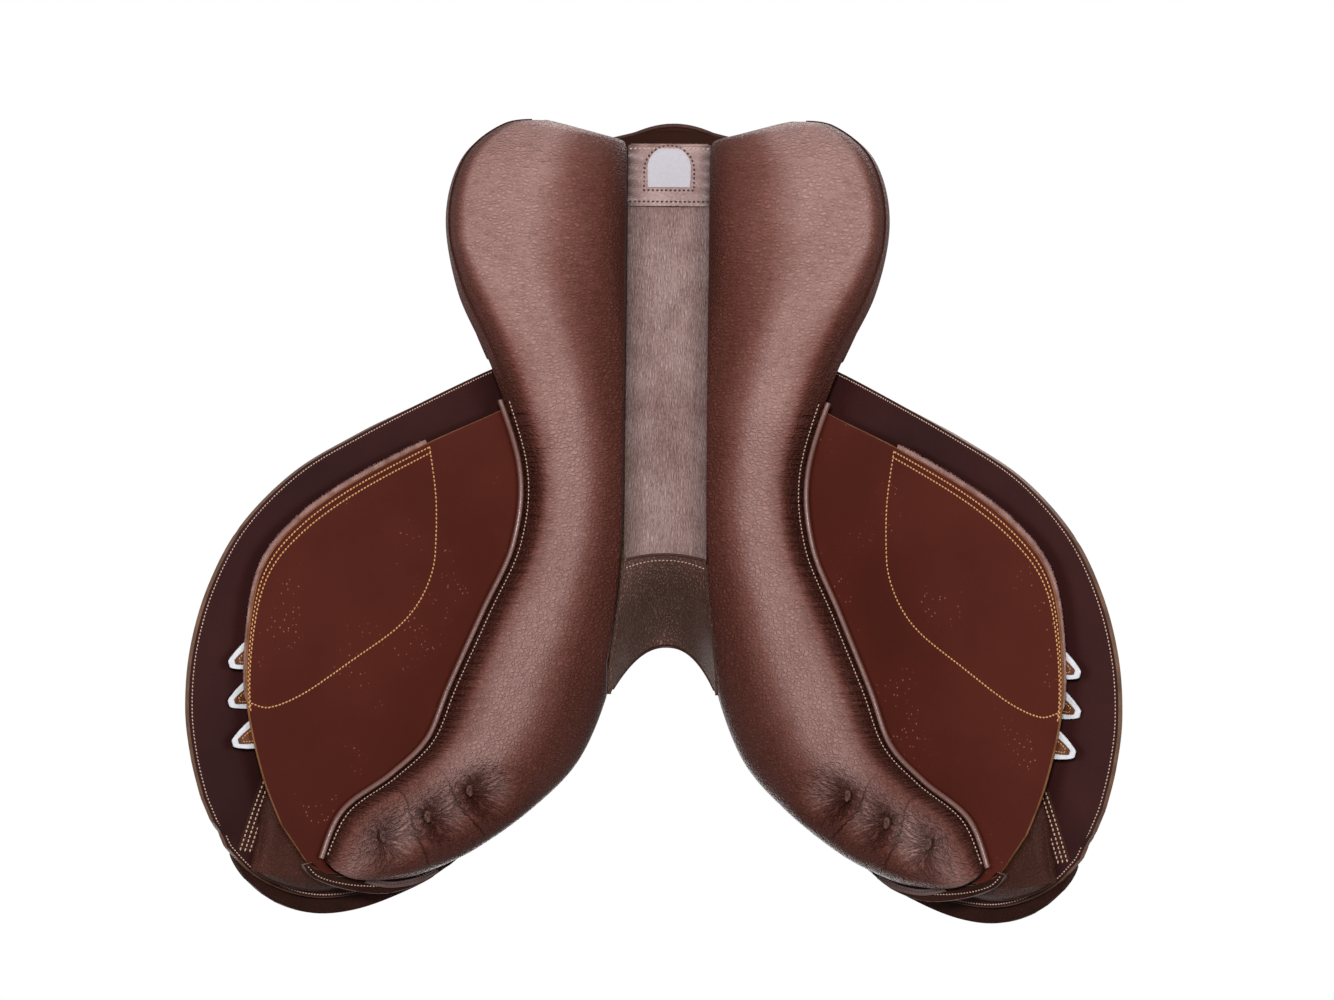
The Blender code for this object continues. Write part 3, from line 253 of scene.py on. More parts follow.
def sheet(columns, rows, place, soften):
    """Leather sheet with rounded cut edges: its inner face has material 0, its outer face 1 and its edges 2."""
    bm = bmesh.new()
    bmesh.ops.create_grid(bm, x_segments=columns, y_segments=rows, size=0.5)
    inner, under = list(bm.verts), list(bm.faces)
    pulled = bmesh.ops.extrude_face_region(bm, geom=under)["geom"]
    outer = [g for g in pulled if isinstance(g, bmesh.types.BMVert)]
    over = {g for g in pulled if isinstance(g, bmesh.types.BMFace)}
    flat = over | set(under)
    for face in bm.faces:
        face.material_index = 2 if face not in flat else int(face in over)
    lay_grid(inner, lambda s, t: place(s, t, 0.0))
    lay_grid(outer, lambda s, t: place(s, t, 1.0))
    rims = [e for e in bm.edges if sum(f.material_index == 2 for f in e.link_faces) == 1]
    bmesh.ops.bevel(bm, geom=rims, offset=soften, affect="EDGES", segments=2, profile=0.5, material=-1)
    bmesh.ops.recalc_face_normals(bm, faces=bm.faces)
    if bm.calc_volume(signed=True) < 0:
        bmesh.ops.reverse_faces(bm, faces=bm.faces)
    return bm


def enter(name, data, body=None, hides=""):
    """New object in the scene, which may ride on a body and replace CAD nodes."""
    thing = bpy.data.objects.new(name, data)
    bpy.context.scene.collection.objects.link(thing)
    if body:
        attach(thing, body)
    if hides:
        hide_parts(*hides.split())
    return thing


def add_piece(name, bm, skins, hides="", slot=None, body="saddle"):
    """Turns a bmesh into a smooth shaded piece."""
    mesh = bpy.data.meshes.new(name)
    bm.to_mesh(mesh)
    bm.free()
    for skin in skins:
        mesh.materials.append(skin)
    mesh.shade_smooth()
    mesh.set_sharp_from_angle(angle=math.radians(48))
    return enter(name, mesh, body, hides)


def add_pair(name, bm, skins, hides="", slot=None, body="saddle"):
    """The left piece and its mirror image on the right; {} in a name stands for left or right."""
    other = bm.copy()
    bmesh.ops.scale(other, verts=other.verts, vec=(-1, 1, 1))
    bmesh.ops.reverse_faces(other, faces=other.faces)
    return [add_piece(name.replace("{}", hand), shape, skins, hides.replace("{}", hand), slot,
                      body and body.replace("{}", hand)) for hand, shape in (("left", bm), ("right", other))]


def multiply(tree, colour, share):
    """Colour multiplied by a share or another colour."""
    return add_node(tree, "Mix", {"data_type": "RGBA", "blend_type": "MULTIPLY"}, _0=1.0, _6=colour,
                    _7=share).outputs[2]


def hide(name, dark, light, roughness, cell, depth, pores=0.5, level=0.3, tone=7.0, stretch=(1, 1, 1)):
    """Leather: pressed cells of a real size and depth over slow changes of colour, darker between the cells."""
    skin, nodes, shader = start_material(name, roughness, level)
    drawn = spot_on(nodes, stretch)
    warp = add_node(nodes, "TexNoise", Vector=drawn, Scale=0.45 / cell, Detail=2.0)
    bent = add_node(nodes, "VectorMath", {"operation": "MULTIPLY_ADD"}, _0=warp.outputs["Color"],
                    _1=(1.6 * cell,) * 3, _2=drawn).outputs[0]
    cells = add_node(nodes, "TexVoronoi", {"feature": "DISTANCE_TO_EDGE"}, Vector=bent, Scale=1 / cell)
    domes = remap(nodes, cells.outputs["Distance"], 0.0, 0.32, ease="SMOOTHSTEP")
    fine = noise(nodes, drawn, 3.2 / cell, 3.0)
    ground = ramp(nodes, noise(nodes, spot_on(nodes), tone, 4.0), (0.32, dark), (0.68, light))
    tint(nodes, shader, multiply(nodes, ground, remap(nodes, domes, 0.0, 1.0, 1.0 - pores, 1.0)))
    nodes.links.new(remap(nodes, fine, 0.0, 1.0, roughness - 0.07, roughness + 0.09), shader.inputs["Roughness"])
    height = add_node(nodes, "Math", {"operation": "MULTIPLY_ADD"}, _0=fine, _1=0.3, _2=domes)
    press(nodes, shader, height.outputs[0], depth)
    return skin


def plain(name, roughness, level, texture, first, last, depth):
    """Material whose colour and relief follow one texture(tree, place)."""
    skin, nodes, shader = start_material(name, roughness, level)
    shape = texture(nodes, spot_on(nodes))
    tint(nodes, shader, ramp(nodes, shape, first, last))
    press(nodes, shader, shape, depth)
    return skin


seat_calf = hide("seat_calf", (60, 33, 27), (78, 45, 37), 0.46, 0.0016, 0.00010, 0.25, 0.2)
cantle_calf = hide("cantle_calf", (58, 33, 27), (72, 43, 36), 0.6, 0.0016, 0.00006, 0.2, 0.0)
calf_edge = hide("dark_cut_edge", (58, 34, 28), (78, 46, 38), 0.6, 0.0010, 0.00008)
cover = sheet(64, 120, lambda s, t, face: seat_point(t, mix(1, -1, s), COVER_THICK * (1 - face)), 0.0005)
blocked = add_piece("seat_hide", cover, [cantle_calf, seat_calf, calf_edge], "seat_cover", "seat_calf")
foam_skin = plain("open_foam", 0.95, 0.2,
                  lambda tree, where: add_node(tree, "TexVoronoi", Vector=where, Scale=900.0).outputs["Distance"],
                  (0.1, (214, 200, 158)), (0.7, (168, 150, 108)), 0.0005)


def foam_place(s, t, face):
    """Foam that thins out towards its edges."""
    v = mix(0.88, -0.88, s)
    thin = np.abs(v / 0.88) ** 4
    top = COVER_THICK + 2 * LAYER_GAP + 0.0014 * thin
    low = COVER_THICK + 2 * LAYER_GAP + mix(FOAM_THICK, 0.004, thin)
    return seat_point(mix(0.10, 0.84, t), v, mix(low, top, face))


pad = add_piece("seat_foam_pad", sheet(30, 50, foam_place, 0.0008), [foam_skin], "seat_foam", "seat_foam")


def times(tree, a, b):
    """Product of two values."""
    return add_node(tree, "Math", {"operation": "MULTIPLY"}, _0=a, _1=b).outputs[0]


def weave(tree, where):
    """Threads that cross."""
    ways = [add_node(tree, "TexWave", {"bands_direction": way}, Vector=where, Scale=210.0) for way in "XY"]
    return times(tree, ways[0].outputs["Fac"], ways[1].outputs["Fac"])


def web_place(s, t, face):
    """Webbing strained under the foam."""
    below = COVER_THICK + FOAM_THICK + 4 * LAYER_GAP
    return seat_point(mix(0.15, 0.80, t), mix(0.52, -0.52, s), below + WEB_THICK * (1 - face))


web_skin = plain("woven_web", 0.85, 0.3, weave, (0.0, (150, 138, 112)), (0.8, (206, 196, 172)), 0.0004)
web = add_piece("seat_webbing", sheet(16, 40, web_place, 0.0003), [web_skin], "seat_web", "webbing")


def rim(u, out=0.0, down=0.0):
    """Points on the seat's left rim, moved outwards in plan and down."""
    along = seat_point(np.minimum(u + 0.01, 1.0), 1.0) - seat_point(np.maximum(u - 0.01, 0.0), 1.0)
    outward = unit(points(along[..., 1], -along[..., 0], 0.0))
    return seat_point(u, 1.0) + outward * out - np.array((0.0, 0.0, down))


def welt(name, path, radius, skin, hides=""):
    """Round cord in a strip of leather along a path; {} in its name adds its mirror image too."""
    for hand, side in (("left", 1), ("right", -1)) if "{}" in name else (("", 1),):
        data = bpy.data.curves.new(name.replace("{}", hand), "CURVE")
        data.dimensions = "3D"
        data.bevel_depth, data.bevel_resolution, data.use_fill_caps = radius, 4, True
        line = data.splines.new("POLY")
        line.points.add(len(path) - 1)
        line.points.foreach_set("co", np.column_stack((path * (side, 1, 1), np.ones(len(path)))).ravel())
        line.use_smooth = True
        data.materials.append(skin)
        enter(data.name, data, "saddle", hides.replace("{}", hand))


left_rim = rim(np.linspace(1 / 22, 1.0, 120), WELT_RADIUS + LAYER_GAP, COVER_THICK / 5)
v = np.linspace(0.9, -0.9, 30)
across = seat_point(np.ones_like(v), v - 0.02) - seat_point(np.ones_like(v), v + 0.02)
rear_rim = seat_point(np.ones_like(v), v) + unit(points(across[:, 1], -across[:, 0], 0.0)) * (WELT_RADIUS + LAYER_GAP)
rear_rim[:, 2] -= COVER_THICK / 5
welt("seat_rim_welt", np.concatenate((left_rim, rear_rim, left_rim[::-1] * (-1, 1, 1))), WELT_RADIUS, seat_calf,
     "seat_welt")


def thread(name, red, green, blue):
    """Waxed thread: twisted strands with a soft shine."""
    return plain(name, 0.5, 0.4, lambda tree, where: noise(tree, where, 2600.0, 2.0),
                 (0.35, (red * 0.72, green * 0.66, blue * 0.6)), (0.6, (red, green, blue)), 0.0002)


def sew(name, row, sizes, skin, body="saddle"):
    """Row of stitches along (path, normals), each a slim bead that lies a little across the row."""
    path, normals = row
    normals = np.broadcast_to(normals, path.shape)
    step, length, width = sizes
    run = np.concatenate(([0.0], np.cumsum(np.linalg.norm(np.diff(path, axis=0), axis=1))))
    at = np.linspace(0.0, run[-1], max(int(round(run[-1] / step)), 2))
    spots, ahead, behind = (np.column_stack([np.interp(at + shift, run, path[:, k]) for k in range(3)])
                            for shift in (0.0, step / 4, -step / 4))
    known = np.linspace(0, 1, len(path))
    facing = unit(np.column_stack([np.interp(at / run[-1], known, normals[:, k]) for k in range(3)]))
    bm = bmesh.new()
    for spot, forward, up in zip(spots, unit(ahead - behind), facing):
        forward = forward + np.cross(up, forward) * 0.16
        forward = forward / np.linalg.norm(forward)
        side = np.cross(up, forward)
        turn = Matrix((forward * length / 2, side * width / 2, up * width * 0.42)).transposed().to_4x4()
        bmesh.ops.create_uvsphere(bm, u_segments=6, v_segments=5, radius=1.0,
                                  matrix=Matrix.Translation(spot) @ turn @ Matrix.Rotation(math.pi / 2, 4, "Y"))
    (add_pair if "{}" in name else add_piece)(name, bm, [skin], body=body)


def seat_row(v, first, last):
    """Path on the seat's top at a share across, with its normals."""
    u = np.linspace(first, last, 160)
    v = v * np.ones_like(u)
    ahead = seat_point(u + 0.002, v) - seat_point(u - 0.002, v)
    up = unit(np.cross(seat_point(u, v + 0.01) - seat_point(u, v - 0.01), ahead))
    return seat_point(u, v) + up * 0.0001, up


pale_thread = thread("pale_thread", 228, 196, 178)
gold_thread = thread("gold_thread", 236, 178, 116)
dark_thread = thread("dark_thread", 62, 32, 28)
sew("seat_edge_stitches_{}", seat_row(0.955, 0.05, 0.93), (0.0034, 0.0026, 0.0012), dark_thread)

# The back surface: every lower layer of leather lies on it, at its own distance from the horse.
# The cantle back closes the rear between the seat's rim and the panels, in the seat's own calf.
BACK_TOP = 0.055
BACK_ROUND = 0.100
FRONT_SLOPE = math.radians(47.0)
REAR_SLOPE = math.radians(20.0)
BACK_THICK = 0.0026
CANTLE_LOW = [(153, 60), (164, 84), (176, 112), (177, 150), (166, 190), (136, 222), (92, 240), (46, 249), (0, 252)]
CANTLE_SIDE = 0.84


def back(x, y):
    """Heights of the back surface."""
    slope = mix(math.tan(REAR_SLOPE), math.tan(FRONT_SLOPE), smooth((0.160 - y) / 0.160))
    return BACK_TOP - slope * (np.hypot(x, BACK_ROUND) - BACK_ROUND)


def back_normal(x, y):
    """Normals of the back surface, away from the horse."""
    step = 0.001
    dx = (back(x + step, y) - back(x - step, y)) / (2 * step)
    dy = (back(x, y + step) - back(x, y - step)) / (2 * step)
    return unit(points(-dx, -dy, 1.0))


def lay(x, y, offset, at):
    """Points at a distance off the back surface, on normals that pass through (x, y) at distance at."""
    bx, by = x, y
    for step in range(4):
        n = back_normal(bx, by)
        bx, by = x - n[..., 0] * at, y - n[..., 1] * at
    n = back_normal(bx, by)
    return points(bx, by, back(bx, by)) + n * np.asarray(offset + 0 * x)[..., None]


def cantle_place(s, t, face):
    """Wall from under the seat's rim down to the panels, round the rear of the seat."""
    side = np.where(s < 0.5, 1.0, -1.0)
    share = 1.0 - np.abs(2 * s - 1)
    inside = 0.0015 + (1 - face) * BACK_THICK
    along = mix(seat_share(np.array(66.0)), 1.0, np.minimum(share / CANTLE_SIDE, 1.0))
    step = seat_point(np.minimum(along + 0.01, 1.0), 1.0) - seat_point(along - 0.01, 1.0)
    top = seat_point(along, 1.0) - unit(points(step[:, 1], -step[:, 0], 0.0)) * inside
    rear = seat_point(1.0, np.clip((1.0 - share) / (1 - CANTLE_SIDE), 0.0, 1.0)) - points(0.0, inside, 0.0)
    top = np.where((share < CANTLE_SIDE)[:, None], top, rear)
    top[:, 2] = np.minimum(top[:, 2], seat_height(top[:, 0], top[:, 1])) - COVER_THICK - 2 * LAYER_GAP
    low_x, low_y = through(CANTLE_LOW, share) * MM
    inward = unit(points(low_x, low_y - 0.10, 0.0)) * ((1 - face) * BACK_THICK)
    low_x, low_y = np.maximum(low_x - inward[:, 0], 0.0), low_y - inward[:, 1]
    low = points(low_x, low_y, back(low_x, low_y) + LAYER_GAP)
    outward = unit(points(top[:, 0], top[:, 1] - 0.12, 0.0))
    spot = mix(top, low, t[:, None]) + outward * (0.005 * np.sin(math.pi * t))[:, None]
    return spot * points(side, 1.0, 1.0)


add_piece("cantle_hide", sheet(140, 14, cantle_place, 0.0005), [cantle_calf, cantle_calf, calf_edge], "cantle_back",
          "seat_calf")

# The linings: a soft hide under the tree between the panels, a coarser one under the pommel and the pommel's facing.
# The lining's nap runs fore and aft, and a bowed seam with a fine stitch row joins it to the head lining.
LINING_THICK = 0.0018
GULLET_WIDTH = 0.073
GULLET_HALF = GULLET_WIDTH / 2 - LAYER_GAP
ARCH_TOP = 0.108
ARCH_HALF = 0.054
ARCH_DROP = 0.108
ARCH_LEAN = 0.52
ARCH_FRONT = -0.190
HEAD_SPAN = 0.86
SEAM_Y = -0.112
SEAM_BOW = 0.005
DOWN = (0, 0, -1.0)


def paint_side_shade(skin, start, end, low):
    """Painted shade: darkens a hide with its distance from the middle plane, towards the panels at its sides."""
    nodes, shader = skin.node_tree, skin.node_tree.nodes["Principled BSDF"]
    across = add_node(nodes, "SeparateXYZ", Vector=spot_on(nodes)).outputs["X"]
    across = add_node(nodes, "Math", {"operation": "ABSOLUTE"}, _0=across).outputs[0]
    sides = remap(nodes, across, start, end, 1.0, low, "SMOOTHSTEP")
    tint(nodes, shader, multiply(nodes, shader.inputs["Base Color"].links[0].from_socket, sides))


lining_hide = hide("lining_hide", (158, 125, 120), (186, 155, 150), 0.5, 0.0022, 0.00080, 0.18, 0.2, 26.0,
                   (1.0, 0.30, 1.0))
# Painted shade on the lining's sides beside the panels' walls.
paint_side_shade(lining_hide, 0.012, 0.037, 0.50)
head_hide = hide("head_hide", (104, 72, 63), (136, 104, 94), 0.5, 0.0024, 0.00120, 0.5, 0.04, stretch=(1.0, 0.6, 1.0))


def gullet_place(s, t, face):
    """Lining between the panels, bowed at its front seam."""
    x = mix(GULLET_HALF, -GULLET_HALF, s)
    y = mix(SEAM_Y - 0.001 + SEAM_BOW * (1 - (x / GULLET_HALF) ** 2), 0.206, t)
    return points(x, y, back(x, y) - LINING_THICK * (1 - face))


spine = add_piece("spine_lining", sheet(30, 90, gullet_place, 0.0003), [lining_hide], "gullet_lining", "lining_hide")


def arch_point(v, off=0.0):
    """Points of the pommel arch at shares across: x, height, and the drop below its top."""
    drop = ARCH_DROP * np.abs(v) ** 2.2
    rise = ARCH_DROP * 2.2 * np.abs(v) ** 1.2 / ARCH_HALF
    size = np.hypot(rise, 1.0)
    return ARCH_HALF * v + np.copysign(rise / size * off, v), ARCH_TOP - drop + off / size, drop


def head_place(s, t, face):
    """Under side of the pommel: flat at its rear seam, an arch at its front edge."""
    v = mix(HEAD_SPAN, -HEAD_SPAN, s)
    x_front, z_front, drop = arch_point(v)
    x = mix(GULLET_HALF * v / HEAD_SPAN, x_front, smooth(t))
    level = back(x, SEAM_Y) - 2 * (LINING_THICK + LAYER_GAP) + 0.0004
    seam = SEAM_Y + SEAM_BOW * (1 - (v / HEAD_SPAN) ** 2)
    y = mix(seam, ARCH_FRONT - ARCH_LEAN * drop, t)
    return points(x, y, mix(level, z_front, smooth(t)) - LINING_THICK * (0.5 - face))


def head_row(t):
    """Path across the head lining, on its under side."""
    v = np.linspace(0.80, -0.80, 60)
    return head_place((HEAD_SPAN - v) / (2 * HEAD_SPAN), np.full_like(v, t), 0.0)


add_piece("head_lining_hide", sheet(60, 50, head_place, 0.0006), [head_hide], "head_lining", "head_hide")
sew("head_seam_stitches", (head_row(0.075) - (0, 0, 0.0002), DOWN), (0.0032, 0.0022, 0.0011), pale_thread)
welt("head_seam_roll", head_row(0.012), 0.0012, seat_calf)
t = np.linspace(0.04, 1.0, 40)
welt("head_binding_{}", head_place(0 * t, t, 0.5) + (0.0012, 0, 0.0006), 0.0022, head_hide)


def facing_place(s, t, face):
    """Front of the pommel between the arch and the seat."""
    x, z, drop = arch_point(mix(0.80, -0.80, s), mix(0.0008, 0.0165, t))
    return points(x, ARCH_FRONT - ARCH_LEAN * (drop - 0.010 * t) - LAYER_GAP - 0.0018 * face, z)


add_piece("pommel_facing_hide", sheet(70, 8, facing_place, 0.0004), [seat_calf], "pommel_facing", "seat_calf")
HEAD_LEG = 0.74
HEAD_OFF = 0.0092
HEAD_THICK = 0.0072
HEAD_DEPTH = 0.020
LEG_SHARE = 0.62
POINT_THICK = 0.0036
POINT_PATH = [(64, -209), (86, -215), (110, -222)]
SWEAT_THICK = 0.0035


def head_path(t):
    """Path of the tree's head down its left leg and on along the point."""
    x, z, drop = arch_point(HEAD_LEG * np.minimum(t / LEG_SHARE, 1.0), HEAD_OFF)
    leg = points(x, ARCH_FRONT + HEAD_DEPTH / 2 + 0.008 - ARCH_LEAN * drop, z)
    x, y = through(POINT_PATH, np.maximum(t - LEG_SHARE, 0.0) / (1 - LEG_SHARE)) * MM
    layer = SWEAT_THICK + 2 * LAYER_GAP + POINT_THICK / 2
    return mix(leg, lay(x, y, layer, layer), smooth((t - LEG_SHARE) / 0.16)[:, None])


def head_cover_place(s, t, face):
    """Leather over one leg of the head, turned in over the leg's front edge."""
    along = mix(0.50, 0.75, t)
    tangent = unit(head_path(along + 0.01) - head_path(along - 0.01))
    wide = unit(np.array((0, 1, 0)) - tangent * tangent[:, 1:2])
    thick = mix(HEAD_THICK / 2, POINT_THICK / 2, smooth((along - 0.56) / 0.14))
    out = 0.0012 + 0.0010 * face
    across = mix(0.0006 - HEAD_DEPTH / 2 - out, HEAD_DEPTH / 2, np.maximum(1.5 * s - 0.5, 0.0))
    level = mix(-thick, thick + out, np.minimum(3 * s, 1.0))
    return head_path(along) + wide * across[:, None] + np.cross(tangent, wide) * level[:, None]


add_pair("head_cover_hide_{}", sheet(36, 40, head_cover_place, 0.0002), [seat_calf], "head_cover_{}", "seat_calf")

# The rear tab: a short strap of the panels' calf that joins them under the cantle, with a bare arched badge on it.
# It is gathered a little at both sides, and the badge is held by a row of dark stitches round it.
TAB_FRONT = 0.199
TAB_REAR = 0.252
BADGE_Y = 0.232
BADGE_ROUND = 0.019
BADGE_END = 0.017
tab_calf = hide("tab_calf", (132, 92, 87), (178, 142, 137), 0.34, 0.0014, 0.00007, 0.2, tone=46.0)
# Painted shade on the tab's sides where they tuck under the panels.
paint_side_shade(tab_calf, 0.024, 0.037, 0.30)


def tab_place(s, t, face):
    """Tab that bulges down between its sewn sides, with small gathers beside them."""
    x, y = mix(GULLET_HALF, -GULLET_HALF, s), mix(TAB_FRONT, TAB_REAR, t)
    gather = 0.0010 * np.sin(17 * t + 2.2 * s) * (np.exp(-s / 0.14) + np.exp(-(1 - s) / 0.14))
    level = LINING_THICK + LAYER_GAP + 0.0025 * np.sin(math.pi * s) ** 0.8 + gather
    return points(x, y, back(x, y) - level - LINING_THICK * (1 - face))


def tab_row(x, y):
    """Path on the tab's under side through places in plan, with its normals."""
    s, t = (GULLET_HALF - x) / (2 * GULLET_HALF), (y - TAB_FRONT) / (TAB_REAR - TAB_FRONT)
    return tab_place(s, t + 0 * s, 0.0) - (0, 0, 0.0001), DOWN


add_piece("rear_tab_calf", sheet(60, 44, tab_place, 0.0004), [tab_calf], "rear_tab", "grained_calf")
x = np.linspace(0.034, -0.034, 40)
sew("tab_front_stitches", tab_row(x, TAB_FRONT + 0.0035), (0.0038, 0.0025, 0.0018), dark_thread)
sew("tab_rear_stitches", tab_row(x, TAB_REAR - 0.0030), (0.0038, 0.0026, 0.0018), pale_thread)
welt("tab_rear_roll", tab_row(x, TAB_REAR)[0] + (0, 0, 0.0010), 0.0014, tab_calf)
turn = np.radians(np.linspace(0, 180, 40))
arch_x = np.concatenate(([0.022, 0.022], 0.022 * np.cos(turn), [-0.022, -0.022, 0.0, 0.022]))
arch_y = np.concatenate(([-0.0195, -0.002], -0.002 + 0.022 * np.sin(turn), [-0.002, -0.0195, -0.0195, -0.0195]))
sew("badge_stitches", tab_row(arch_x, BADGE_Y + arch_y), (0.0038, 0.0023, 0.0019), dark_thread)

enamel = plain("white_enamel", 0.5, 0.15, lambda tree, where: noise(tree, where, 420.0, 2.0), (0.3, (196, 191, 198)),
               (0.7, (204, 199, 206)), 0.00004)
badge = bmesh.new()
bmesh.ops.create_circle(badge, cap_ends=True, segments=48, radius=BADGE_ROUND)
for v in badge.verts:
    if v.co.y <= 0:
        v.co.y = -BADGE_END * min(1.0, -v.co.y / 0.0055)
    if v.co.y <= -0.0169:
        v.co.x = math.copysign(min(abs(v.co.x) * 1.05, BADGE_ROUND), v.co.x)
    v.co.y = min(v.co.y, BADGE_END)
plate = bmesh.ops.extrude_face_region(badge, geom=list(badge.faces))["geom"]
bmesh.ops.translate(badge, verts=[g for g in plate if isinstance(g, bmesh.types.BMVert)], vec=(0, 0, -0.0014))
bmesh.ops.recalc_face_normals(badge, faces=badge.faces)
front_face = min(badge.faces, key=lambda f: f.calc_center_median().z)
for inset, depth in ((0.0011, 0.0), (0.0002, -0.0004)):
    bmesh.ops.inset_region(badge, faces=[front_face], thickness=inset, depth=depth)
bmesh.ops.translate(badge, verts=badge.verts, vec=(0, BADGE_Y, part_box("badge_plate")[1].z))
add_piece("badge_enamel_plate", badge, [enamel], "badge_plate", "badge_plate")

# The panels: two long cushions of soft grained calf, stuffed with wool, that carry the saddle on the horse's back.
# Each is crowned, sewn to a round welt along its outer edge and tied through at three tufts on its front end.
PANEL_DEPTH = 0.040
PANEL_TOP = -2 * LAYER_GAP
TUFT_DEPTH = 0.66
TUFT_RADIUS = 0.0185
PIPING_RADIUS = 0.0024
TUFTS = [(164, -310), (196, -328), (229, -342)]
PANEL = [(9, 256, 110, 272, 0.34), (1, 249, 146, 266, 0.90), (0, 216, 180, 236, 1.34), (0, 166, 193, 183, 1.45),
         (0, 100, 181, 119, 1.38), (0, 40, 148, 50, 1.15), (0, -30, 122, -32, 1.00), (1, -95, 126, -98, 0.95),
         (6, -160, 150, -157, 0.92), (17, -222, 176, -220, 0.88), (43, -285, 193, -265, 0.82),
         (82, -326, 221, -294, 0.78), (128, -359, 256, -321, 0.68), (168, -378, 271, -359, 0.42)]
FLAT_SHARE = 0.26
END_BOW = 0.0125
SEAM_COLUMN = 41 / 150
CORD_COLUMN = 43 / 150
panel_calf = hide("panel_calf", (236, 230, 228), (255, 255, 255), 0.40, 0.0030, 0.00085, 0.17, 0.09, 14.0,
                  (0.55, 1.0, 1.0))
nodes, shader = panel_calf.node_tree, panel_calf.node_tree.nodes["Principled BSDF"]
shader.inputs["Specular Tint"].default_value = (1.0, 0.84, 0.80, 1.0)
# The first attribute holds painted light, a painted sheen and painted shade, together with the tuft and welt crease
# masks.
marks, around_tuft, along_seam = (add_node(nodes, "Attribute", {"attribute_name": name}).outputs["Vector"]
                                  for name in ("painted_light_and_creases", "tuft_way", "seam_way"))
painted_light_share, pulled, sewn = add_node(nodes, "SeparateXYZ", Vector=marks).outputs
tuft_creases = times(nodes, remap(nodes, noise(nodes, around_tuft, 6.0, 3.0, Roughness=0.6), 0.42, 0.64), pulled)
seam_creases = times(nodes, remap(nodes, noise(nodes, along_seam, 1.0, 2.0), 0.45, 0.70), sewn)
height = nodes.nodes["Bump"].inputs["Height"].links[0].from_socket
for creases, depth in ((tuft_creases, -5.0), (seam_creases, -3.0)):
    height = add_node(nodes, "Math", {"operation": "MULTIPLY_ADD"}, _0=creases, _1=depth, _2=height).outputs[0]
nodes.links.new(height, nodes.nodes["Bump"].inputs["Height"])
patchy = remap(nodes, noise(nodes, spot_on(nodes), 24.0, 4.0), 0.25, 0.75, 0.86, 1.0)
# Painted light in the base colour: the dark end is painted shade, the pale mauve end is painted sheen, and the
# leather's own brown lies between.
brown_with_painted_light = ramp(nodes, times(nodes, painted_light_share, patchy), (0.0, (58, 29, 23)), (0.32, (92, 50, 42)), (0.62, (126, 82, 74)),
           (1.0, (168, 130, 124)))
grained_brown_with_painted_light = multiply(nodes, brown_with_painted_light, shader.inputs["Base Color"].links[0].from_socket)
# Painted shade: the creases round the tufts and beside the welt are darkened in colour.
crease_shade = add_node(nodes, "Math", {"operation": "ADD"}, _0=tuft_creases, _1=seam_creases).outputs[0]
tint(nodes, shader, multiply(nodes, grained_brown_with_painted_light, remap(nodes, crease_shade, 0.0, 1.0, 1.0, 0.55)))


def section(a):
    """Share across the cushion and its crown at places round it: its flat top first, then its crowned side."""
    turn = math.pi * np.clip((a - FLAT_SHARE) / (1 - FLAT_SHARE), 0.0, 1.0)
    across = np.cos(turn)
    s = 0.5 + 0.5 * np.copysign(np.abs(across) ** 0.62, across)
    crown = np.maximum(np.sin(turn), 0.0) ** 0.55 * mix(1.08, 0.80, smooth(s))
    return np.where(a < FLAT_SHARE, a / FLAT_SHARE, s), np.where(a < FLAT_SHARE, 0.0, crown)


def panel_place(a, t):
    """Cushion: a goes round its section and t from its rear to its front end."""
    inner, yi, xo, yo, depth = through(PANEL, t)
    xi, yi, xo, yo = GULLET_WIDTH / 2 + inner * MM, yi * MM, xo * MM, yo * MM
    s, crown = section(a)
    x, y = mix(xi, xo, s), mix(yi, yo, s)
    sunk = crown * PANEL_DEPTH * depth * np.sqrt(1.0 - np.clip((t - 0.925) / 0.080, 0.0, 1.0) ** 2.5)
    before = through(PANEL, np.maximum(t - 0.02, 0.0)) * MM
    ahead = unit(points(x - mix(GULLET_WIDTH / 2 + before[0], before[2], s), y - mix(before[1], before[3], s), 0.0))
    bow = END_BOW * (4 * s * (1 - s)) ** 0.7 * smooth((t - 0.90) / 0.10)
    x, y = x + ahead[:, 0] * bow, y + ahead[:, 1] * bow
    for tx, ty in TUFTS:
        dx, dy = x - tx * MM, y - ty * MM
        away, angle = np.hypot(dx, dy), np.arctan2(dy, dx)
        sunk = sunk * (1.0 - TUFT_DEPTH * np.exp(-(away / TUFT_RADIUS) ** 2) - 0.20 * np.exp(-(away / 0.0050) ** 2))
        folds = np.sin(9 * angle + 2.0 * np.sin(3 * angle)) + 0.5 * np.sin(14 * angle + 1.3)
        fold = 0.00060 * folds * (away / 0.010) * np.exp(-(away / 0.018) ** 1.6)
        sunk = sunk + np.where(sunk > 0.004, fold, 0.0)
    pucker = np.sin(t * 2 * math.pi * 92) * np.exp(-((1 - s) / 0.045)) * (s > 0.6) * smooth((crown - 0.15) / 0.3)
    sunk = sunk + np.where(a < FLAT_SHARE, 0.0, 0.00035 * pucker)
    spot = lay(x, y, PANEL_TOP - sunk, PANEL_TOP)
    wall = GULLET_WIDTH / 2 + np.minimum(np.maximum(inner, 0.0) * MM, 0.012)
    spot[:, 0] = np.maximum(spot[:, 0], wall)
    return spot


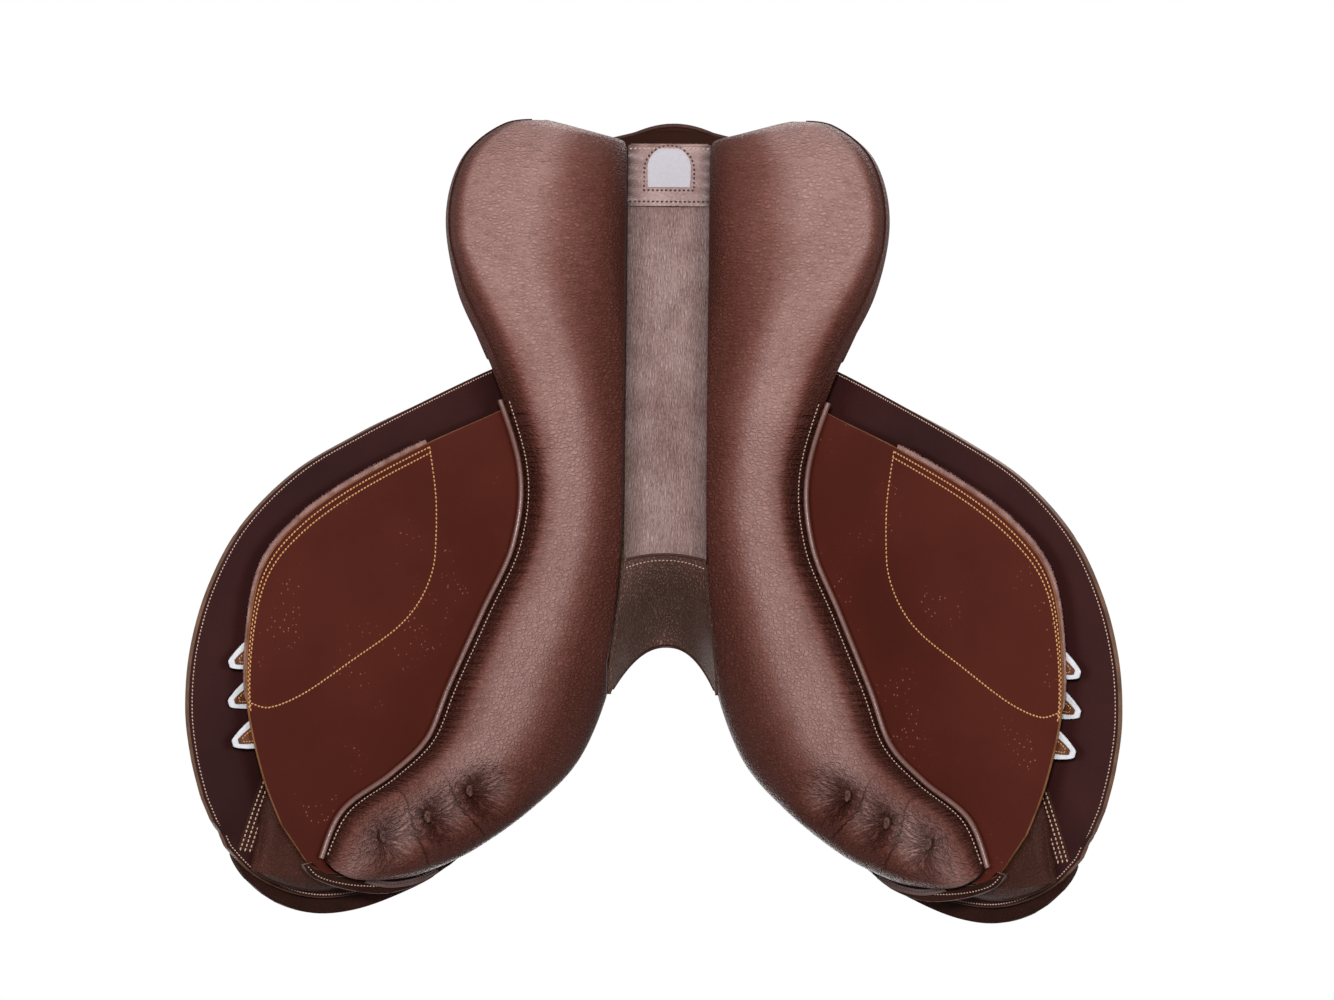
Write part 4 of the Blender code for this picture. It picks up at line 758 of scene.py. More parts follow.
def panel_marks(a, t):
    """Painted sheen along the ridge, painted shade towards the gullet, the outer edge and the front end, a painted
    highlight on one side of each tuft, and how the leather is drawn in and creased at the tufts and beside the welt.
    """
    inner, yi, xo, yo, depth = through(PANEL, t)
    s = section(a)[0]
    x, y = mix(GULLET_WIDTH / 2 + inner * MM, xo * MM, s), mix(yi, yo, s) * MM
    front = smooth((t - 0.20) / 0.20)
    edge, middle, half = mix(0.93, 0.92, front), mix(0.78, 0.74, front), mix(0.36, 0.25, front)
    # Painted sheen along the ridge, and painted shade towards the gullet, the outer edge and the front end.
    painted_light = mix(0.34, 0.24, front) * smooth((s + 0.05) / 0.30) + 0.92 * np.exp(-((s - middle) / half) ** 2)
    painted_light = painted_light * (1.0 - 0.75 * smooth((s - edge) / (1.0 - edge))) * (1.0 - 0.25 * smooth((t - 0.78) / 0.08))
    nearest = np.full_like(x, 9.0)
    way = points(x, y, 0.0) * 0.0
    for tx, ty in TUFTS:
        dx, dy = x - tx * MM, y - ty * MM
        away = np.maximum(np.hypot(dx, dy), 1e-5)
        way = np.where((away < nearest)[:, None], points(dx / away, dy / away, away / 0.030), way)
        nearest = np.minimum(nearest, away)
        # Painted highlight on the side of each tuft towards the gullet.
        painted_light = painted_light + 0.62 * np.exp(-((away - 0.014) / 0.010) ** 2) * np.maximum(-dx / away, 0.0)
    pull = np.exp(-(nearest / 0.024) ** 2) * smooth(nearest / 0.004)
    sewn = np.exp(-((1 - s) / 0.07)) * smooth((t - 0.39) / 0.05)
    return {"painted_light_and_creases": points(painted_light * (a >= FLAT_SHARE), pull, sewn), "tuft_way": way,
            "seam_way": points(t * 250.0, s * 6.0, 0.0)}


def cushion(around, along):
    """Closed panel: a grid rolled round its section, with its painted light and crease masks kept and its ends filled.
    """
    bm = bmesh.new()
    bmesh.ops.create_grid(bm, x_segments=around, y_segments=along, size=0.5)
    at = np.array([v.co[:2] for v in bm.verts]) + 0.5
    for name, values in panel_marks(at[:, 0] % 0.999999, at[:, 1]).items():
        layer = bm.verts.layers.float_vector.new(name)
        for v, value in zip(bm.verts, values):
            v[layer] = value
    lay_grid(list(bm.verts), lambda a, t: panel_place(a % 0.999999, t))
    bmesh.ops.remove_doubles(bm, verts=bm.verts, dist=0.00002)
    bmesh.ops.holes_fill(bm, edges=[e for e in bm.edges if e.is_boundary], sides=0)
    bmesh.ops.recalc_face_normals(bm, faces=bm.faces)
    return bm


def panel_row(a, t):
    """Path on the cushion's surface, with its normals."""
    a, step = a + 0 * t, 0.002
    wide = panel_place(a + step, t) - panel_place(a - step, t)
    ahead = panel_place(a, np.minimum(t + step, 1.0)) - panel_place(a, t - step)
    facing = unit(np.cross(ahead, wide))
    return panel_place(a, t) + facing * 0.0001, facing


for panel in add_pair("panel_cushion_{}", cushion(150, 420), [panel_calf], "panel_{}", "grained_calf"):
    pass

piping_calf = hide("piping_calf", (100, 62, 54), (124, 84, 76), 0.30, 0.0016, 0.00006, 0.2, 0.6)
knot_calf = hide("knot_calf", (66, 36, 28), (98, 60, 50), 0.40, 0.0012, 0.00008, 0.35)
t = np.linspace(0.408, 0.998, 260)
inner, yi, xo, yo, depth = through(PANEL, t)
ahead, behind = through(PANEL, np.minimum(t + 0.004, 1.0)), through(PANEL, t - 0.004)
along = unit(points(ahead[2] - behind[2], ahead[3] - behind[3], 0.0))
out = PIPING_RADIUS + LAYER_GAP
seam = lay(xo * MM - along[:, 1] * out, yo * MM + along[:, 0] * out, -PIPING_RADIUS - LAYER_GAP, -PIPING_RADIUS)
welt("panel_welt_{}", seam, PIPING_RADIUS, piping_calf, "panel_piping_{}")
sew("panel_seam_stitches_{}", panel_row(SEAM_COLUMN, np.linspace(0.412, 0.985, 260)), (0.0034, 0.0024, 0.0012),
    pale_thread)
welt("panel_rear_cord_{}", panel_row(CORD_COLUMN, np.linspace(0.03, 0.415, 160))[0], 0.0010, cantle_calf)

shares = np.array([(a, t) for a in np.linspace(0.5, 0.9, 60) for t in np.linspace(0.8, 0.95, 60)])
spots = panel_place(shares[:, 0], shares[:, 1])
p = np.linspace(0, 4.4 * math.pi, 81)
loop = points(0.0044 * np.cos(p), 0.0028 * np.sin(p), 0.0006 * np.sin(3 * p)) * (1.0 - 0.048 * p)[:, None]
for number, (tx, ty) in enumerate(TUFTS, 1):
    normal = back_normal(tx * MM, ty * MM)
    off = spots - lay(tx * MM, ty * MM, -0.010, -0.010)
    off = off - (off @ normal)[:, None] * normal
    knot_at = spots[np.argmin(np.linalg.norm(off, axis=1))]
    basis = np.array(Vector(-normal).to_track_quat("Z", "Y").to_matrix())
    welt("tuft_knot_%d_{}" % number, knot_at - normal * 0.0042 + loop @ basis.T, 0.00125, knot_calf)

# The sweat flaps: thin red-brown leather between the girth straps and the horse, sewn to the panels' outer edges.
# A suede backing is sewn to the rear edge with gold thread; it stands out a little there and its cut edge is fuzzy.
SWEAT_FLAP = [(100, 44, 64, -165), (137, 18, 74, -225), (198, -14, 98, -282), (258, -51, 134, -326),
              (296, -84, 174, -353), (318, -118, 211, -368), (327, -165, 243, -373), (328, -225, 268, -371),
              (317, -285, 282, -363), (303, -328, 290, -351)]
PATCH = [(197, -18), (192, -58), (191.5, -96), (194, -122), (204, -148), (221, -170), (253, -195), (288, -221),
         (312, -231.5), (325, -228)]
BACKING_OUT = -0.010
HAIRS = 900
BOLD_STITCH = (0.0035, 0.0026, 0.0014)
sweat_hide = hide("sweat_flap_hide", (72, 27, 19), (84, 34, 24), 0.5, 0.0011, 0.00003, 0.10, 0.07, 9.0)
nodes, shader = sweat_hide.node_tree, sweat_hide.node_tree.nodes["Principled BSDF"]
dust = add_node(nodes, "TexVoronoi", Vector=spot_on(nodes), Scale=230.0).outputs["Distance"]
drift = remap(nodes, noise(nodes, spot_on(nodes), 18.0, 3.0), 0.56, 0.66)
dusty = add_node(nodes, "Mix", {"data_type": "RGBA"}, _0=times(nodes, remap(nodes, dust, 0.10, 0.18, 1.0, 0.0), drift),
                 _6=shader.inputs["Base Color"].links[0].from_socket, _7=srgb(150, 104, 90))
tint(nodes, shader, dusty.outputs[2])
tan_edge = hide("tan_cut_edge", (124, 78, 46), (158, 108, 70), 0.6, 0.0009, 0.00008, 0.3, 0.2, 60.0)
suede = hide("backing_suede", (150, 108, 100), (196, 156, 148), 0.95, 0.0008, 0.0002, 0.4, 0.1, 80.0)


def ruled(table, s, t):
    """Places in plan between a table's rear and front edges."""
    xr, yr, xf, yf = through(table, t) * MM
    return mix(xr, xf, s), mix(yr, yf, s)


def sweat_place(s, t, face):
    """Sweat flap, the lowest leather."""
    return lay(*ruled(SWEAT_FLAP, s, t), face * 0.0021, SWEAT_THICK / 2)


def backing_place(s, t, face):
    """Suede behind the rear edge: it stands out a little beyond the leather."""
    x, y = ruled(SWEAT_FLAP, mix(BACKING_OUT, 0.34, s), mix(0.222, 0.775, t))
    return lay(x, y, mix(0.0022, SWEAT_THICK, face), SWEAT_THICK / 2)


def sweat_row(x, y):
    """Path on the sweat flap's inner face through places in plan, with its normals."""
    return lay(x, y, -0.0001, SWEAT_THICK / 2), -back_normal(x, y)


for leather in add_pair("sweat_leather_{}", sheet(70, 110, sweat_place, 0.0005), [sweat_hide, sweat_hide, tan_edge],
                        "sweat_flap_{}", "sweat_flap_hide"):
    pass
add_pair("sweat_backing_{}", sheet(20, 90, backing_place, 0.0003), [suede])

fuzz = bmesh.new()
chance = np.random.default_rng(7)
t = mix(0.226, 0.771, np.sort(chance.random(HAIRS)))
x, y = ruled(SWEAT_FLAP, BACKING_OUT, t)
xi, yi = ruled(SWEAT_FLAP, 0.05, t)
outward = unit(points(x - xi, y - yi, 0.0))
roots = lay(x, y, mix(0.0024, 0.0034, chance.random(HAIRS)), SWEAT_THICK / 2)
lean = unit(outward + 0.7 * (chance.random((HAIRS, 3)) - 0.5))
for root, way, size in zip(roots, lean, chance.random(HAIRS)):
    turn = Vector(way).to_track_quat("Z", "X").to_matrix().to_4x4()
    length = mix(0.0006, 0.0019, size ** 2)
    bmesh.ops.create_cone(fuzz, segments=3, radius1=0.00028, radius2=0.00005, depth=length,
                          matrix=Matrix.Translation(Vector(root) + Vector(way) * length * 0.4) @ turn)
add_pair("suede_fuzz_{}", fuzz, [suede])
sew("patch_stitches_{}", sweat_row(*through(PATCH, np.linspace(0, 1, 200)) * MM), BOLD_STITCH, gold_thread)
for number, share in enumerate((0.012, 0.028)):
    row = sweat_row(*ruled(SWEAT_FLAP, share, np.linspace(0.225, 0.785, 200)))
    sew("edge_stitches_%d_{}" % number, row, BOLD_STITCH, gold_thread)

# The flaps: the large outer leathers, two plies sewn together round the edge, which hang from the tree.
# The inner ply is a dark plum calf. At the fold the leather bends, so one sheet runs from the tree to the lower edge.
FLAP_THICK = 0.0045
FLAP_IN = 0.0137
FLAP_OUT = FLAP_IN + FLAP_THICK
BLOCK_RISE = 0.0075
FLAP = [(128, 61, 94, -190), (154, 50, 89, -240), (203, 22, 106, -296), (253, -8, 142, -341), (298, -40, 181, -371),
        (335, -84, 217, -386), (357, -132, 251, -393), (369, -182, 281, -393), (372, -230, 306, -384),
        (368, -270, 328, -368), (361, -303, 346, -345)]
ROOT = [(84, 52), (72, -20), (64, -80), (56, -168)]
FOLD_SHARE = 1 / 6
FINE_STITCH = (0.0030, 0.0021, 0.0011)
flap_in_hide = hide("flap_inner_hide", (46, 22, 22), (60, 30, 29), 0.55, 0.0012, 0.00004, 0.15, 0.07, 8.0)
flap_out_hide = hide("flap_outer_hide", (68, 38, 31), (84, 49, 41), 0.42, 0.0014, 0.00006, 0.2, 0.25, 8.0)
flap_edge = hide("flap_cut_edge", (84, 58, 42), (124, 90, 68), 0.5, 0.0009, 0.0001, 0.3, 0.2, 60.0)


def flap_inner(s, t):
    """Distance of the flap's inner face off the back surface: it rises over the knee block."""
    return FLAP_IN + BLOCK_RISE * smooth((s - 0.45) / 0.3) * smooth((t - 0.18) / 0.25)


def ply(x, y, inner, face):
    """Points of the flap's leather, whose inner face is at a distance off the back surface."""
    return lay(x, y, inner + face * FLAP_THICK, inner + FLAP_THICK / 2)


def whole_flap_place(s, t, face):
    """Root and flap as one leather: the root's inner edge lies on the panel beside the tree."""
    above, down = np.minimum(t / FOLD_SHARE, 1.0), np.maximum((t - FOLD_SHARE) / (1 - FOLD_SHARE), 0.0)
    xi, yi = through(ROOT, s) * MM
    xr, yr, xf, yf = np.asarray(FLAP[0]) * MM
    root = ply(mix(xi, mix(xr, xf, s), above), mix(yi, mix(yr, yf, s), above),
               mix(PANEL_TOP + 0.0006, FLAP_IN, smooth(above / 0.45)), face)
    return np.where((t < FOLD_SHARE)[:, None], root, ply(*ruled(FLAP, s, down), flap_inner(s, down), face))


def bend_over(pieces, rear, front, body, reach):
    """Bakes the left and right pieces' placement into their meshes; the line of the fold is worked out, but the pieces
    do not bend.
    """
    middle = (rear + front) / 2
    down = unit(np.cross(front - rear, back_normal(*middle[:2])))
    down = down * np.sign(down[0])
    for thing, hand, side in zip(pieces, ("left", "right"), (1, -1)):
        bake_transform(thing)


leathers = add_pair("flap_leather_{}", sheet(60, 130, whole_flap_place, 0.0006),
                    [flap_in_hide, flap_out_hide, flap_edge], "flap_{} flap_root_{}", "flap_hide", None)
fold = [lay(x * MM, y * MM, FLAP_OUT, FLAP_IN + FLAP_THICK / 2) for x, y in (FLAP[0][:2], FLAP[0][2:])]
bend_over(leathers, *fold, "flap_body_", 0.006)


def inset_path(x, y, distance):
    """Plan path moved to the left of its direction by a distance."""
    dx, dy = np.gradient(x), np.gradient(y)
    size = np.hypot(dx, dy)
    return x - dy / size * distance, y + dx / size * distance


t = np.concatenate((np.linspace(0.02, 1, 150), np.ones(20), np.linspace(1, 0.02, 150)))
s = np.concatenate((np.zeros(150), np.linspace(0, 1, 20), np.ones(150)))
x, y = ruled(FLAP, s, t)
keep = np.concatenate(([True], np.hypot(np.diff(x), np.diff(y)) > 1e-5))
x, y = x[keep], y[keep]
for step in range(6):
    for line in (x, y):
        line[1:-1] = (line[:-2] + 2 * line[1:-1] + line[2:]) / 4
x, y = inset_path(x, y, -0.0024)
level, n = flap_inner(s[keep], t[keep]), back_normal(x, y)
for layer, off, facing, skin in (("inner", -0.0001, -n, pale_thread), ("outer", FLAP_THICK + 0.0001, n, dark_thread)):
    sew("flap_%s_stitches_{}" % layer, (lay(x, y, level + off, level + FLAP_THICK / 2), facing), FINE_STITCH, skin,
        "flap_body_{}")

# The knee blocks and knee pads: a foam block under each flap's front, and a padded roll sewn over its front edge.
# Both are covered in soft grained calf; inside the flap a band with three stitch rows closes the padded part.
KNEE_BLOCK = [(0.30, 0.76, 0.28, 0.955), (0.40, 0.68, 0.40, 0.960), (0.52, 0.61, 0.54, 0.965),
              (0.64, 0.575, 0.68, 0.970), (0.72, 0.60, 0.78, 0.970), (0.81, 0.74, 0.85, 0.970),
              (0.87, 0.88, 0.89, 0.960)]
KNEE_PAD = [(126, -192, 95, -214), (156, -229, 97, -262), (188, -262, 117, -308), (222, -291, 151, -349),
            (256, -310, 187, -381), (286, -322, 222, -398), (311, -331, 255, -407), (328, -338, 285, -406),
            (338, -345, 312, -393), (343, -351, 332, -373)]
KNEE_PAD_DEPTH = 0.013
BAND = [(314, -288), (320, -306), (327, -328), (333, -348)]
roll_calf = hide("roll_calf", (44, 24, 20), (60, 35, 29), 0.5, 0.0020, 0.00014, 0.35, 0.02, 16.0)
knee_calf = hide("knee_calf", (60, 34, 27), (82, 48, 39), 0.46, 0.0024, 0.0003, 0.42, 0.06, 16.0)


def block_place(s, t, face):
    """Knee block that fills the room between the flap and the sweat flap."""
    tr, sr, tf, sf = through(KNEE_BLOCK, t)
    here_t, here_s = mix(tr, tf, s), mix(sr, sf, s)
    top = flap_inner(here_s, here_t) - LAYER_GAP
    edge = np.minimum.reduce([6 * s, 6 * (1 - s), 5 * t, 8 * (1 - t), np.ones_like(s)])
    deep = mix(0.35, 1.0, np.sqrt(np.maximum(edge, 0.0))) * (top - SWEAT_THICK - 2 * LAYER_GAP)
    return lay(*ruled(FLAP, here_s, here_t), top - (1 - face) * deep, top)


def flap_level(x, y):
    """Distance of the flap's inner face off the back surface at places in plan."""
    low, high = np.zeros_like(x), np.ones_like(x)
    for step in range(20):
        t = (low + high) / 2
        xr, yr, xf, yf = through(FLAP, t) * MM
        beyond = (xf - xr) * (y - yr) - (yf - yr) * (x - xr) > 0
        low, high = np.where(beyond, t, low), np.where(beyond, high, t)
    xr, yr, xf, yf = through(FLAP, low) * MM
    share = ((x - xr) * (xf - xr) + (y - yr) * (yf - yr)) / ((xf - xr) ** 2 + (yf - yr) ** 2)
    return flap_inner(np.clip(share, 0.0, 1.0), low)


def pad_place(s, t, face):
    """Knee roll on the flap's outer face, proud of its front lower edge."""
    x, y = ruled(KNEE_PAD, s, t)
    foot = flap_level(x, y) + FLAP_THICK + LAYER_GAP
    crown = np.abs(np.sin(math.pi * mix(0.06, 0.90, s)) * np.sin(math.pi * mix(0.10, 0.93, t))) ** 0.6
    return lay(x, y, foot + face * KNEE_PAD_DEPTH * crown, foot)


for block in add_pair("knee_block_pad_{}", sheet(30, 50, block_place, 0.0012), [knee_calf], "knee_block_{}",
                      "flap_hide", "flap_body_{}"):
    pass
for roll in add_pair("knee_roll_{}", sheet(50, 90, pad_place, 0.0012), [roll_calf], "knee_pad_{}", "flap_hide",
                     "flap_body_{}"):
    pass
for number, shift in enumerate((-0.0045, -0.0010, 0.0025)):
    x, y = inset_path(*through(BAND, np.linspace(0, 1, 60)) * MM, shift)
    level = flap_level(x, y)
    sew("band_stitches_%d_{}" % number, (lay(x, y, level - 0.0008, level), -back_normal(x, y)),
        (0.0036, 0.0027, 0.0014), pale_thread, "flap_body_{}")


def band_place(s, t, face):
    """Narrow leather band over the rear edge of the padded part, inside the flap."""
    along = (through(BAND, np.minimum(t + 0.01, 1.0)) - through(BAND, np.maximum(t - 0.01, 0.0))) * MM
    wide = along / np.hypot(*along) * mix(-0.0065, 0.0045, s)
    x, y = through(BAND, t) * MM
    x, y = x - wide[1], y + wide[0]
    level = flap_level(x, y)
    return lay(x, y, level - 0.0007 * (1 - face), level)


add_pair("knee_band_{}", sheet(6, 30, band_place, 0.0002), [knee_calf], body="flap_body_{}")

# The skirts cover the stirrup bars: one leather each, sewn under the seat's rim.
# A stitch row runs round the free edge, as on the flaps.
SKIRT_THICK = 0.0036
BAR_HEIGHT = 0.0153
SKIRT_FOLD = [(122, 54), (62, -168)]
SKIRT = [(150, 50), (158, 18), (166, -32), (162, -80), (143, -124), (114, -156), (80, -178)]


def skirt_place(s, t, face):
    """Points of the skirt: t is 0 at the seam, a half at the fold and 1 at the lower edge."""
    t = mix(-1.0, 1.0, t)
    root = rim(seat_share(mix(56.0, -166.0, s)), -0.001, COVER_THICK + 2 * LAYER_GAP + SKIRT_THICK / 2)
    rear, front = np.array(SKIRT_FOLD) * MM
    fold = mix(rear, front, s[:, None])
    low = through(SKIRT, s).T * MM
    strip = np.linalg.norm(fold - root[:, :2], axis=1)
    hang = np.linalg.norm(low - fold, axis=1)
    plan = np.where((t < 0)[:, None], mix(fold, root[:, :2], -t[:, None]), mix(fold, low, t[:, None]))
    share = np.where(t < 0, (1 + t) * strip, strip + t * hang) / (strip + hang)
    start = (root[:, 2] - back(root[:, 0], root[:, 1])) * back_normal(root[:, 0], root[:, 1])[:, 2]
    end = flap_level(low[:, 0], low[:, 1]) + FLAP_THICK + 0.0015 + SKIRT_THICK / 2
    level = mix(start, end, smooth(share / 0.8))
    rises_at = 0.03 * smooth((s - 0.42) / 0.2)
    over_bar = smooth((share - rises_at) / 0.15) * (1 - smooth((share - 0.40) / 0.42))
    beside = smooth((s - 0.04) / 0.26) * (1 - smooth((s - 0.74) / 0.24))
    clear = FLAP_OUT + BAR_HEIGHT + 3 * LAYER_GAP + SKIRT_THICK / 2
    level = level + np.maximum(clear - level, 0.0) * over_bar * beside
    return lay(plan[:, 0], plan[:, 1], level + (face - 0.5) * SKIRT_THICK, level)


skirts = add_pair("skirt_leather_{}", sheet(60, 70, skirt_place, 0.0006), [flap_in_hide, flap_out_hide, flap_edge],
                  "skirt_{} skirt_root_{}", "flap_hide", None)
bend_over(skirts, *skirt_place(np.array((0.0, 1.0)), np.array((0.5, 0.5)), 1.0), "skirt_body_", 0.004)
s = np.concatenate((np.full(20, 0.018), np.linspace(0.018, 0.985, 120), np.full(20, 0.985)))
t = np.concatenate((np.linspace(0.1, 0.93, 20), np.full(120, 0.93), np.linspace(0.93, 0.1, 20)))
row = skirt_place(s, (1 + t) / 2, 1.02)
sew("skirt_stitches_{}", (row, back_normal(row[:, 0], row[:, 1])), FINE_STITCH, dark_thread, "skirt_body_{}")

# The girth straps: two plies of strap leather on a white web that shows as a pale border, sewn round with gold thread.
# Three hang from the tree on each side between the sweat flap and the flap, and their lower ends are pointed.
BILLET_WIDTH = 0.024
BILLET_THICK = 0.0042
LOW_BILLET = 0.0041
HIGH_BILLET = 0.0089
BILLETS = [(-64, 341, -196, LOW_BILLET), (-102, 342, -228, HIGH_BILLET), (-140, 338, -260, LOW_BILLET)]
strap_hide = hide("strap_hide", (84, 44, 26), (108, 62, 38), 0.4, 0.0014, 0.00005, 0.2)
white_web = plain("white_web", 0.7, 0.3, lambda tree, where: noise(tree, where, 1600.0, 2.0), (0.3, (206, 208, 214)),
                  (0.7, (236, 238, 242)), 0.0001)


def strap_place(billet, width, low, high, short=0.0):
    """Layer of a girth strap with a pointed end, between two shares of its thickness, cut short at its tip."""
    y0, x1, y1, offset = billet
    middle = offset + BILLET_THICK / 2

    def centre(t):
        return lay(mix(84, x1, t) * MM, mix(y0, y1, t) * MM, middle, middle)
    long = np.linalg.norm(centre(1.0) - centre(0.0))

    def place(s, t, face):
        share = (1.0 - (1.0 - t) ** 1.5) * (1.0 - short)
        here = centre(share)
        wide = unit(np.cross(back_normal(here[:, 0], here[:, 1]), centre(share + 0.01) - here))
        left = (1.0 - short - share) * long / 0.020
        side = mix(1, -1, s) * (width / 2 * np.minimum(1.0, 0.22 + 0.78 * left ** 0.75))
        x, y = here[:, 0] + wide[:, 0] * side, here[:, 1] + wide[:, 1] * side
        return lay(x, y, offset + mix(low, high, face) * BILLET_THICK, middle)
    return place


s = np.concatenate((np.zeros(60), np.linspace(0, 1, 8), np.ones(60)))
t = np.concatenate((np.linspace(0.45, 0.985, 60), np.full(8, 0.985), np.linspace(0.985, 0.45, 60)))
for number, billet in enumerate(BILLETS, 1):
    body = "billet_body_%d_{}" % number
    web = sheet(10, 60, strap_place(billet, BILLET_WIDTH, 0.34, 0.66), 0.0002)
    add_pair("strap_web_%d_{}" % number, web, [white_web], "billet_%d_{}" % number, "strap_hide", body)
    for layer, low, high in (("inner", 0.0, 0.34), ("outer", 0.66, 1.0)):
        leather = sheet(10, 60, strap_place(billet, BILLET_WIDTH - 0.0080, low, high, 0.013), 0.0003)
        add_pair("strap_%s_%d_{}" % (layer, number), leather, [strap_hide], "", "strap_hide", body)
    for layer, face, sign in (("inner", -0.02, -1), ("outer", 1.02, 1)):
        row = strap_place(billet, BILLET_WIDTH - 0.0110, 0.0, 1.0, 0.022)(s, t, face)
        sew("strap_%s_stitches_%d_{}" % (layer, number), (row, sign * back_normal(row[:, 0], row[:, 1])),
            (0.0030, 0.0022, 0.0008), gold_thread, body)

# The front facing closes each panel's front end, level with the sweat flap, and is sewn on with two rows.
# The point pockets hold the ends of the tree's head, and a keeper on each flap takes the stirrup leather's end.
END_SEAM = [(187, -374, 186, -377), (202, -380, 201, -385), (222, -382, 223, -387), (240, -377, 242, -381)]
FACING = [(170, -352, 168, -358), (187, -361, 193, -382), (215, -371, 224, -391.5), (244, -375, 254, -386),
          (268, -372, 279, -374), (281, -360, 288, -362)]
POCKET = [(84, -188, 82, -242), (104, -191, 102, -248), (126, -202, 125, -246)]
SEAM_LEVEL = -0.0004
facing_edge = hide("facing_cut_edge", (92, 66, 60), (146, 122, 118), 0.5, 0.0012, 0.00008, 0.3, 0.2, 60.0)


def end_facing_place(s, t, face):
    """Facing at the panel's front end, as thick as the sweat flap."""
    return lay(*ruled(FACING, s, t), face * SWEAT_THICK, SWEAT_THICK / 2)


def end_seam_place(s, t, face):
    """Seam allowance of the panel's end, which lies on the facing."""
    return lay(*ruled(END_SEAM, s, t), SEAM_LEVEL - 0.0012 * (1 - face), SEAM_LEVEL)


def pocket_place(s, t, face):
    """Leather pocket over the tree's point."""
    inside = smooth(5 * np.minimum(s, 1 - s)) * smooth(6 * (1 - t))
    low = SWEAT_THICK + LAYER_GAP + inside * (POINT_THICK + 2 * LAYER_GAP)
    return lay(*ruled(POCKET, s, t), low + face * 0.0018, low)


def keeper_place(s, t, face):
    """Keeper, sewn at both ends and a little lifted between them."""
    x = 0.318 + (0.5 - s) * 0.016 * math.cos(FRONT_SLOPE)
    y = -0.176 + mix(-0.022, 0.022, t)
    foot = flap_level(x, y) + FLAP_THICK + 0.0003
    return lay(x, y, foot + 0.0008 * np.sin(math.pi * t) + face * 0.0018, foot)


add_pair("end_facing_{}", sheet(12, 60, end_facing_place, 0.0006), [roll_calf, roll_calf, facing_edge],
         "panel_facing_{}", "grained_calf")
add_pair("end_seam_{}", sheet(8, 50, end_seam_place, 0.0003), [tab_calf])
row = lay(*ruled(END_SEAM, 0.45, np.linspace(0.04, 0.96, 80)), -0.0017, SEAM_LEVEL)
sew("end_seam_stitches_{}", (row, -back_normal(row[:, 0], row[:, 1])), (0.0034, 0.0022, 0.0012), dark_thread)
sew("facing_stitches_{}", sweat_row(*ruled(FACING, 0.66, np.linspace(0.04, 0.94, 80))), (0.0032, 0.0020, 0.0010),
    pale_thread)
add_pair("pocket_hide_{}", sheet(24, 24, pocket_place, 0.0003), [flap_out_hide], "point_pocket_{}", "strap_hide")
add_pair("keeper_loop_{}", sheet(8, 24, keeper_place, 0.0004), [flap_out_hide], "keeper_{}", "flap_hide",
         "flap_body_{}")

# The studio: white all round, soft lamps low at both sides and above, and a camera straight below the saddle.
# The pale floor lies under the flaps' lowest edge and shows only from above it.
world = bpy.data.worlds.new("studio")
bpy.context.scene.world = world
floor_skin = bpy.data.materials.new("pale_floor")
world.use_nodes = floor_skin.use_nodes = True
sky, nodes = world.node_tree, floor_skin.node_tree
sky.nodes.clear()
nodes.nodes.clear()
path = add_node(sky, "LightPath")
seen = path.outputs["Is Camera Ray"]
for kind in ("Is Glossy Ray", "Is Transmission Ray"):
    seen = add_node(sky, "Math", {"operation": "MAXIMUM"}, _0=seen, _1=path.outputs[kind]).outputs[0]
soft = add_node(sky, "Background", Color=(0.95, 0.95, 0.96, 1), Strength=0.24)
white = add_node(sky, "Background", Color=(1, 1, 1, 1), Strength=1.0)
both = add_node(sky, "MixShader", Fac=seen, _1=soft.outputs[0], _2=white.outputs[0])
add_node(sky, "OutputWorld", Surface=both.outputs[0])
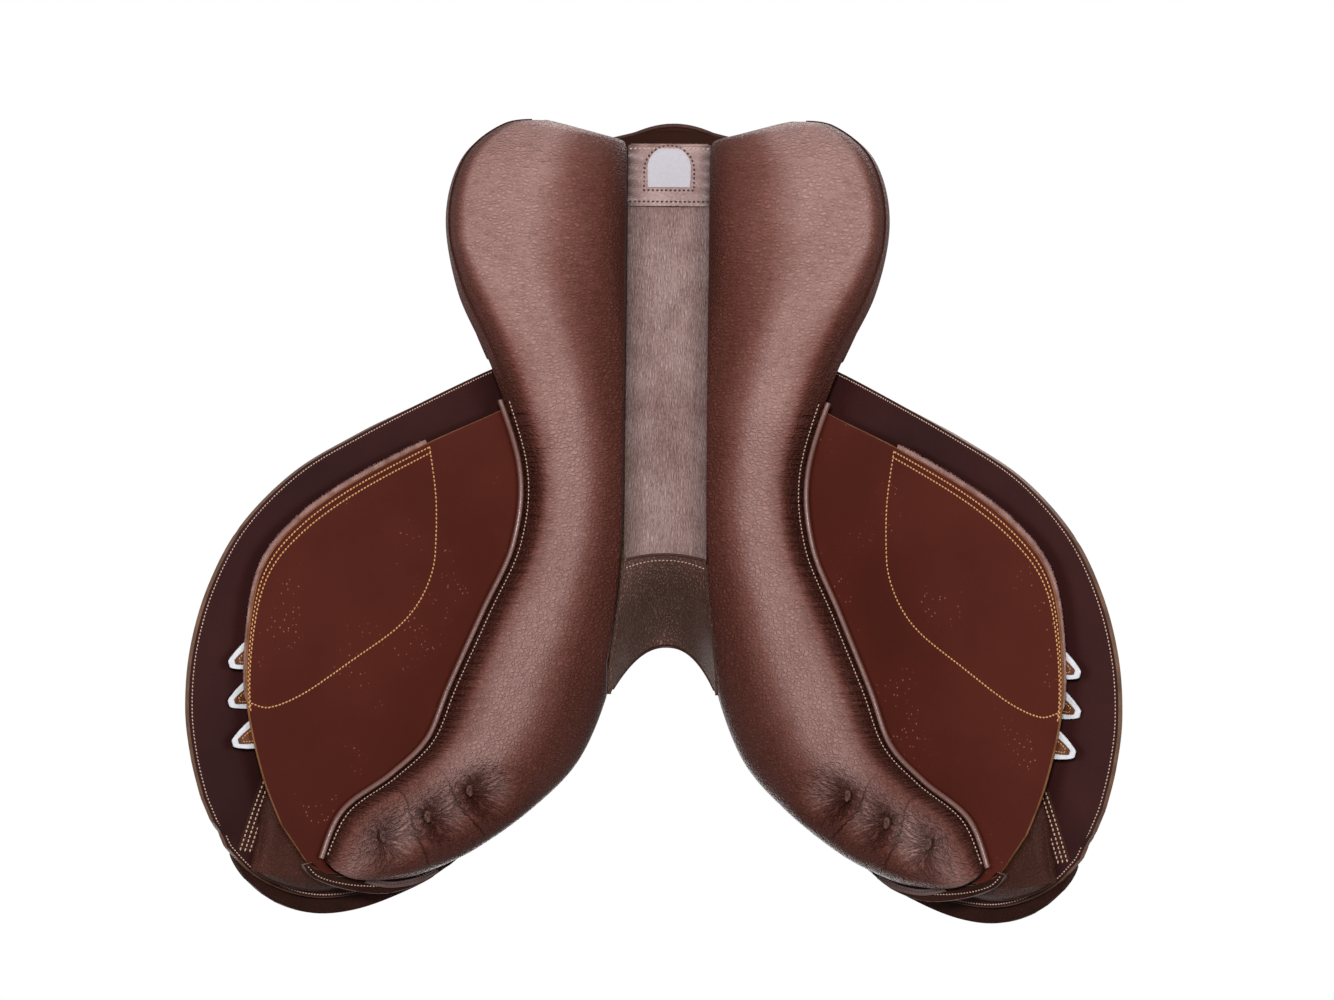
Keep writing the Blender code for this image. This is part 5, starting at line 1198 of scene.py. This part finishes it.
for name, place, aim, width, height, power in (("box_below", (0.0, 0.50, -2.6), (0, -0.05, 0), 0.55, 0.45, 56),
                                               ("box_left", (1.7, 0.10, -0.9), (0.1, 0, 0), 0.6, 1.3, 10),
                                               ("box_right", (-1.7, 0.10, -0.9), (-0.1, 0, 0), 0.6, 1.3, 10),
                                               ("box_top", (0.5, -1.2, 1.8), (0, 0, 0), 1.6, 1.6, 30),
                                               ("box_rear", (-0.6, 1.5, 1.4), (0, 0, 0), 1.4, 1.4, 22)):
    data = bpy.data.lights.new(name, "AREA")
    data.shape = "RECTANGLE"
    data.size, data.size_y, data.energy = width, height, power
    lamp = enter(name, data)
    lamp.location = place
    lamp.rotation_euler = (Vector(aim) - Vector(place)).to_track_quat("-Z", "Y").to_euler()

rear_side = add_node(nodes, "NewGeometry").outputs["Backfacing"]
from_above = add_node(nodes, "Math", {"operation": "SUBTRACT"}, _0=1.0, _1=rear_side).outputs[0]
shown = times(nodes, add_node(nodes, "LightPath").outputs["Is Camera Ray"], from_above)
paint = add_node(nodes, "BsdfDiffuse", Color=(0.86, 0.86, 0.86, 1))
joined = add_node(nodes, "MixShader", Fac=shown, _1=add_node(nodes, "BsdfTransparent").outputs[0], _2=paint.outputs[0])
add_node(nodes, "OutputMaterial", Surface=joined.outputs[0])
ground = bmesh.new()
bmesh.ops.create_grid(ground, x_segments=1, y_segments=1, size=6.0)
bmesh.ops.translate(ground, verts=ground.verts, vec=(0, 0, cad_box[0][2] - 0.001))
add_piece("floor", ground, [floor_skin], body=None)

DISTANCE = 2.8
AIM = Vector((-0.0045, -0.060, -0.05))
ORBIT = math.radians(2.0)
ROLL = math.radians(-0.6)
PHOTO_WIDTH = 1334
PIXEL = 0.00085
camera = enter("camera", bpy.data.cameras.new("camera"))
camera.data.sensor_width = 36.0
camera.data.lens = 36.0 * DISTANCE / (PHOTO_WIDTH * PIXEL)
ahead = Vector((math.sin(ORBIT), 0.0, math.cos(ORBIT)))
right = ahead.cross(Vector((0, 1, 0))).normalized()
up = right.cross(ahead)
right, up = right * math.cos(ROLL) - up * math.sin(ROLL), up * math.cos(ROLL) + right * math.sin(ROLL)
camera.matrix_world = Matrix.Translation(AIM - ahead * DISTANCE) @ Matrix((right, up, -ahead)).transposed().to_4x4()
bpy.context.scene.camera = camera
bpy.context.scene.view_settings.view_transform = "Standard"
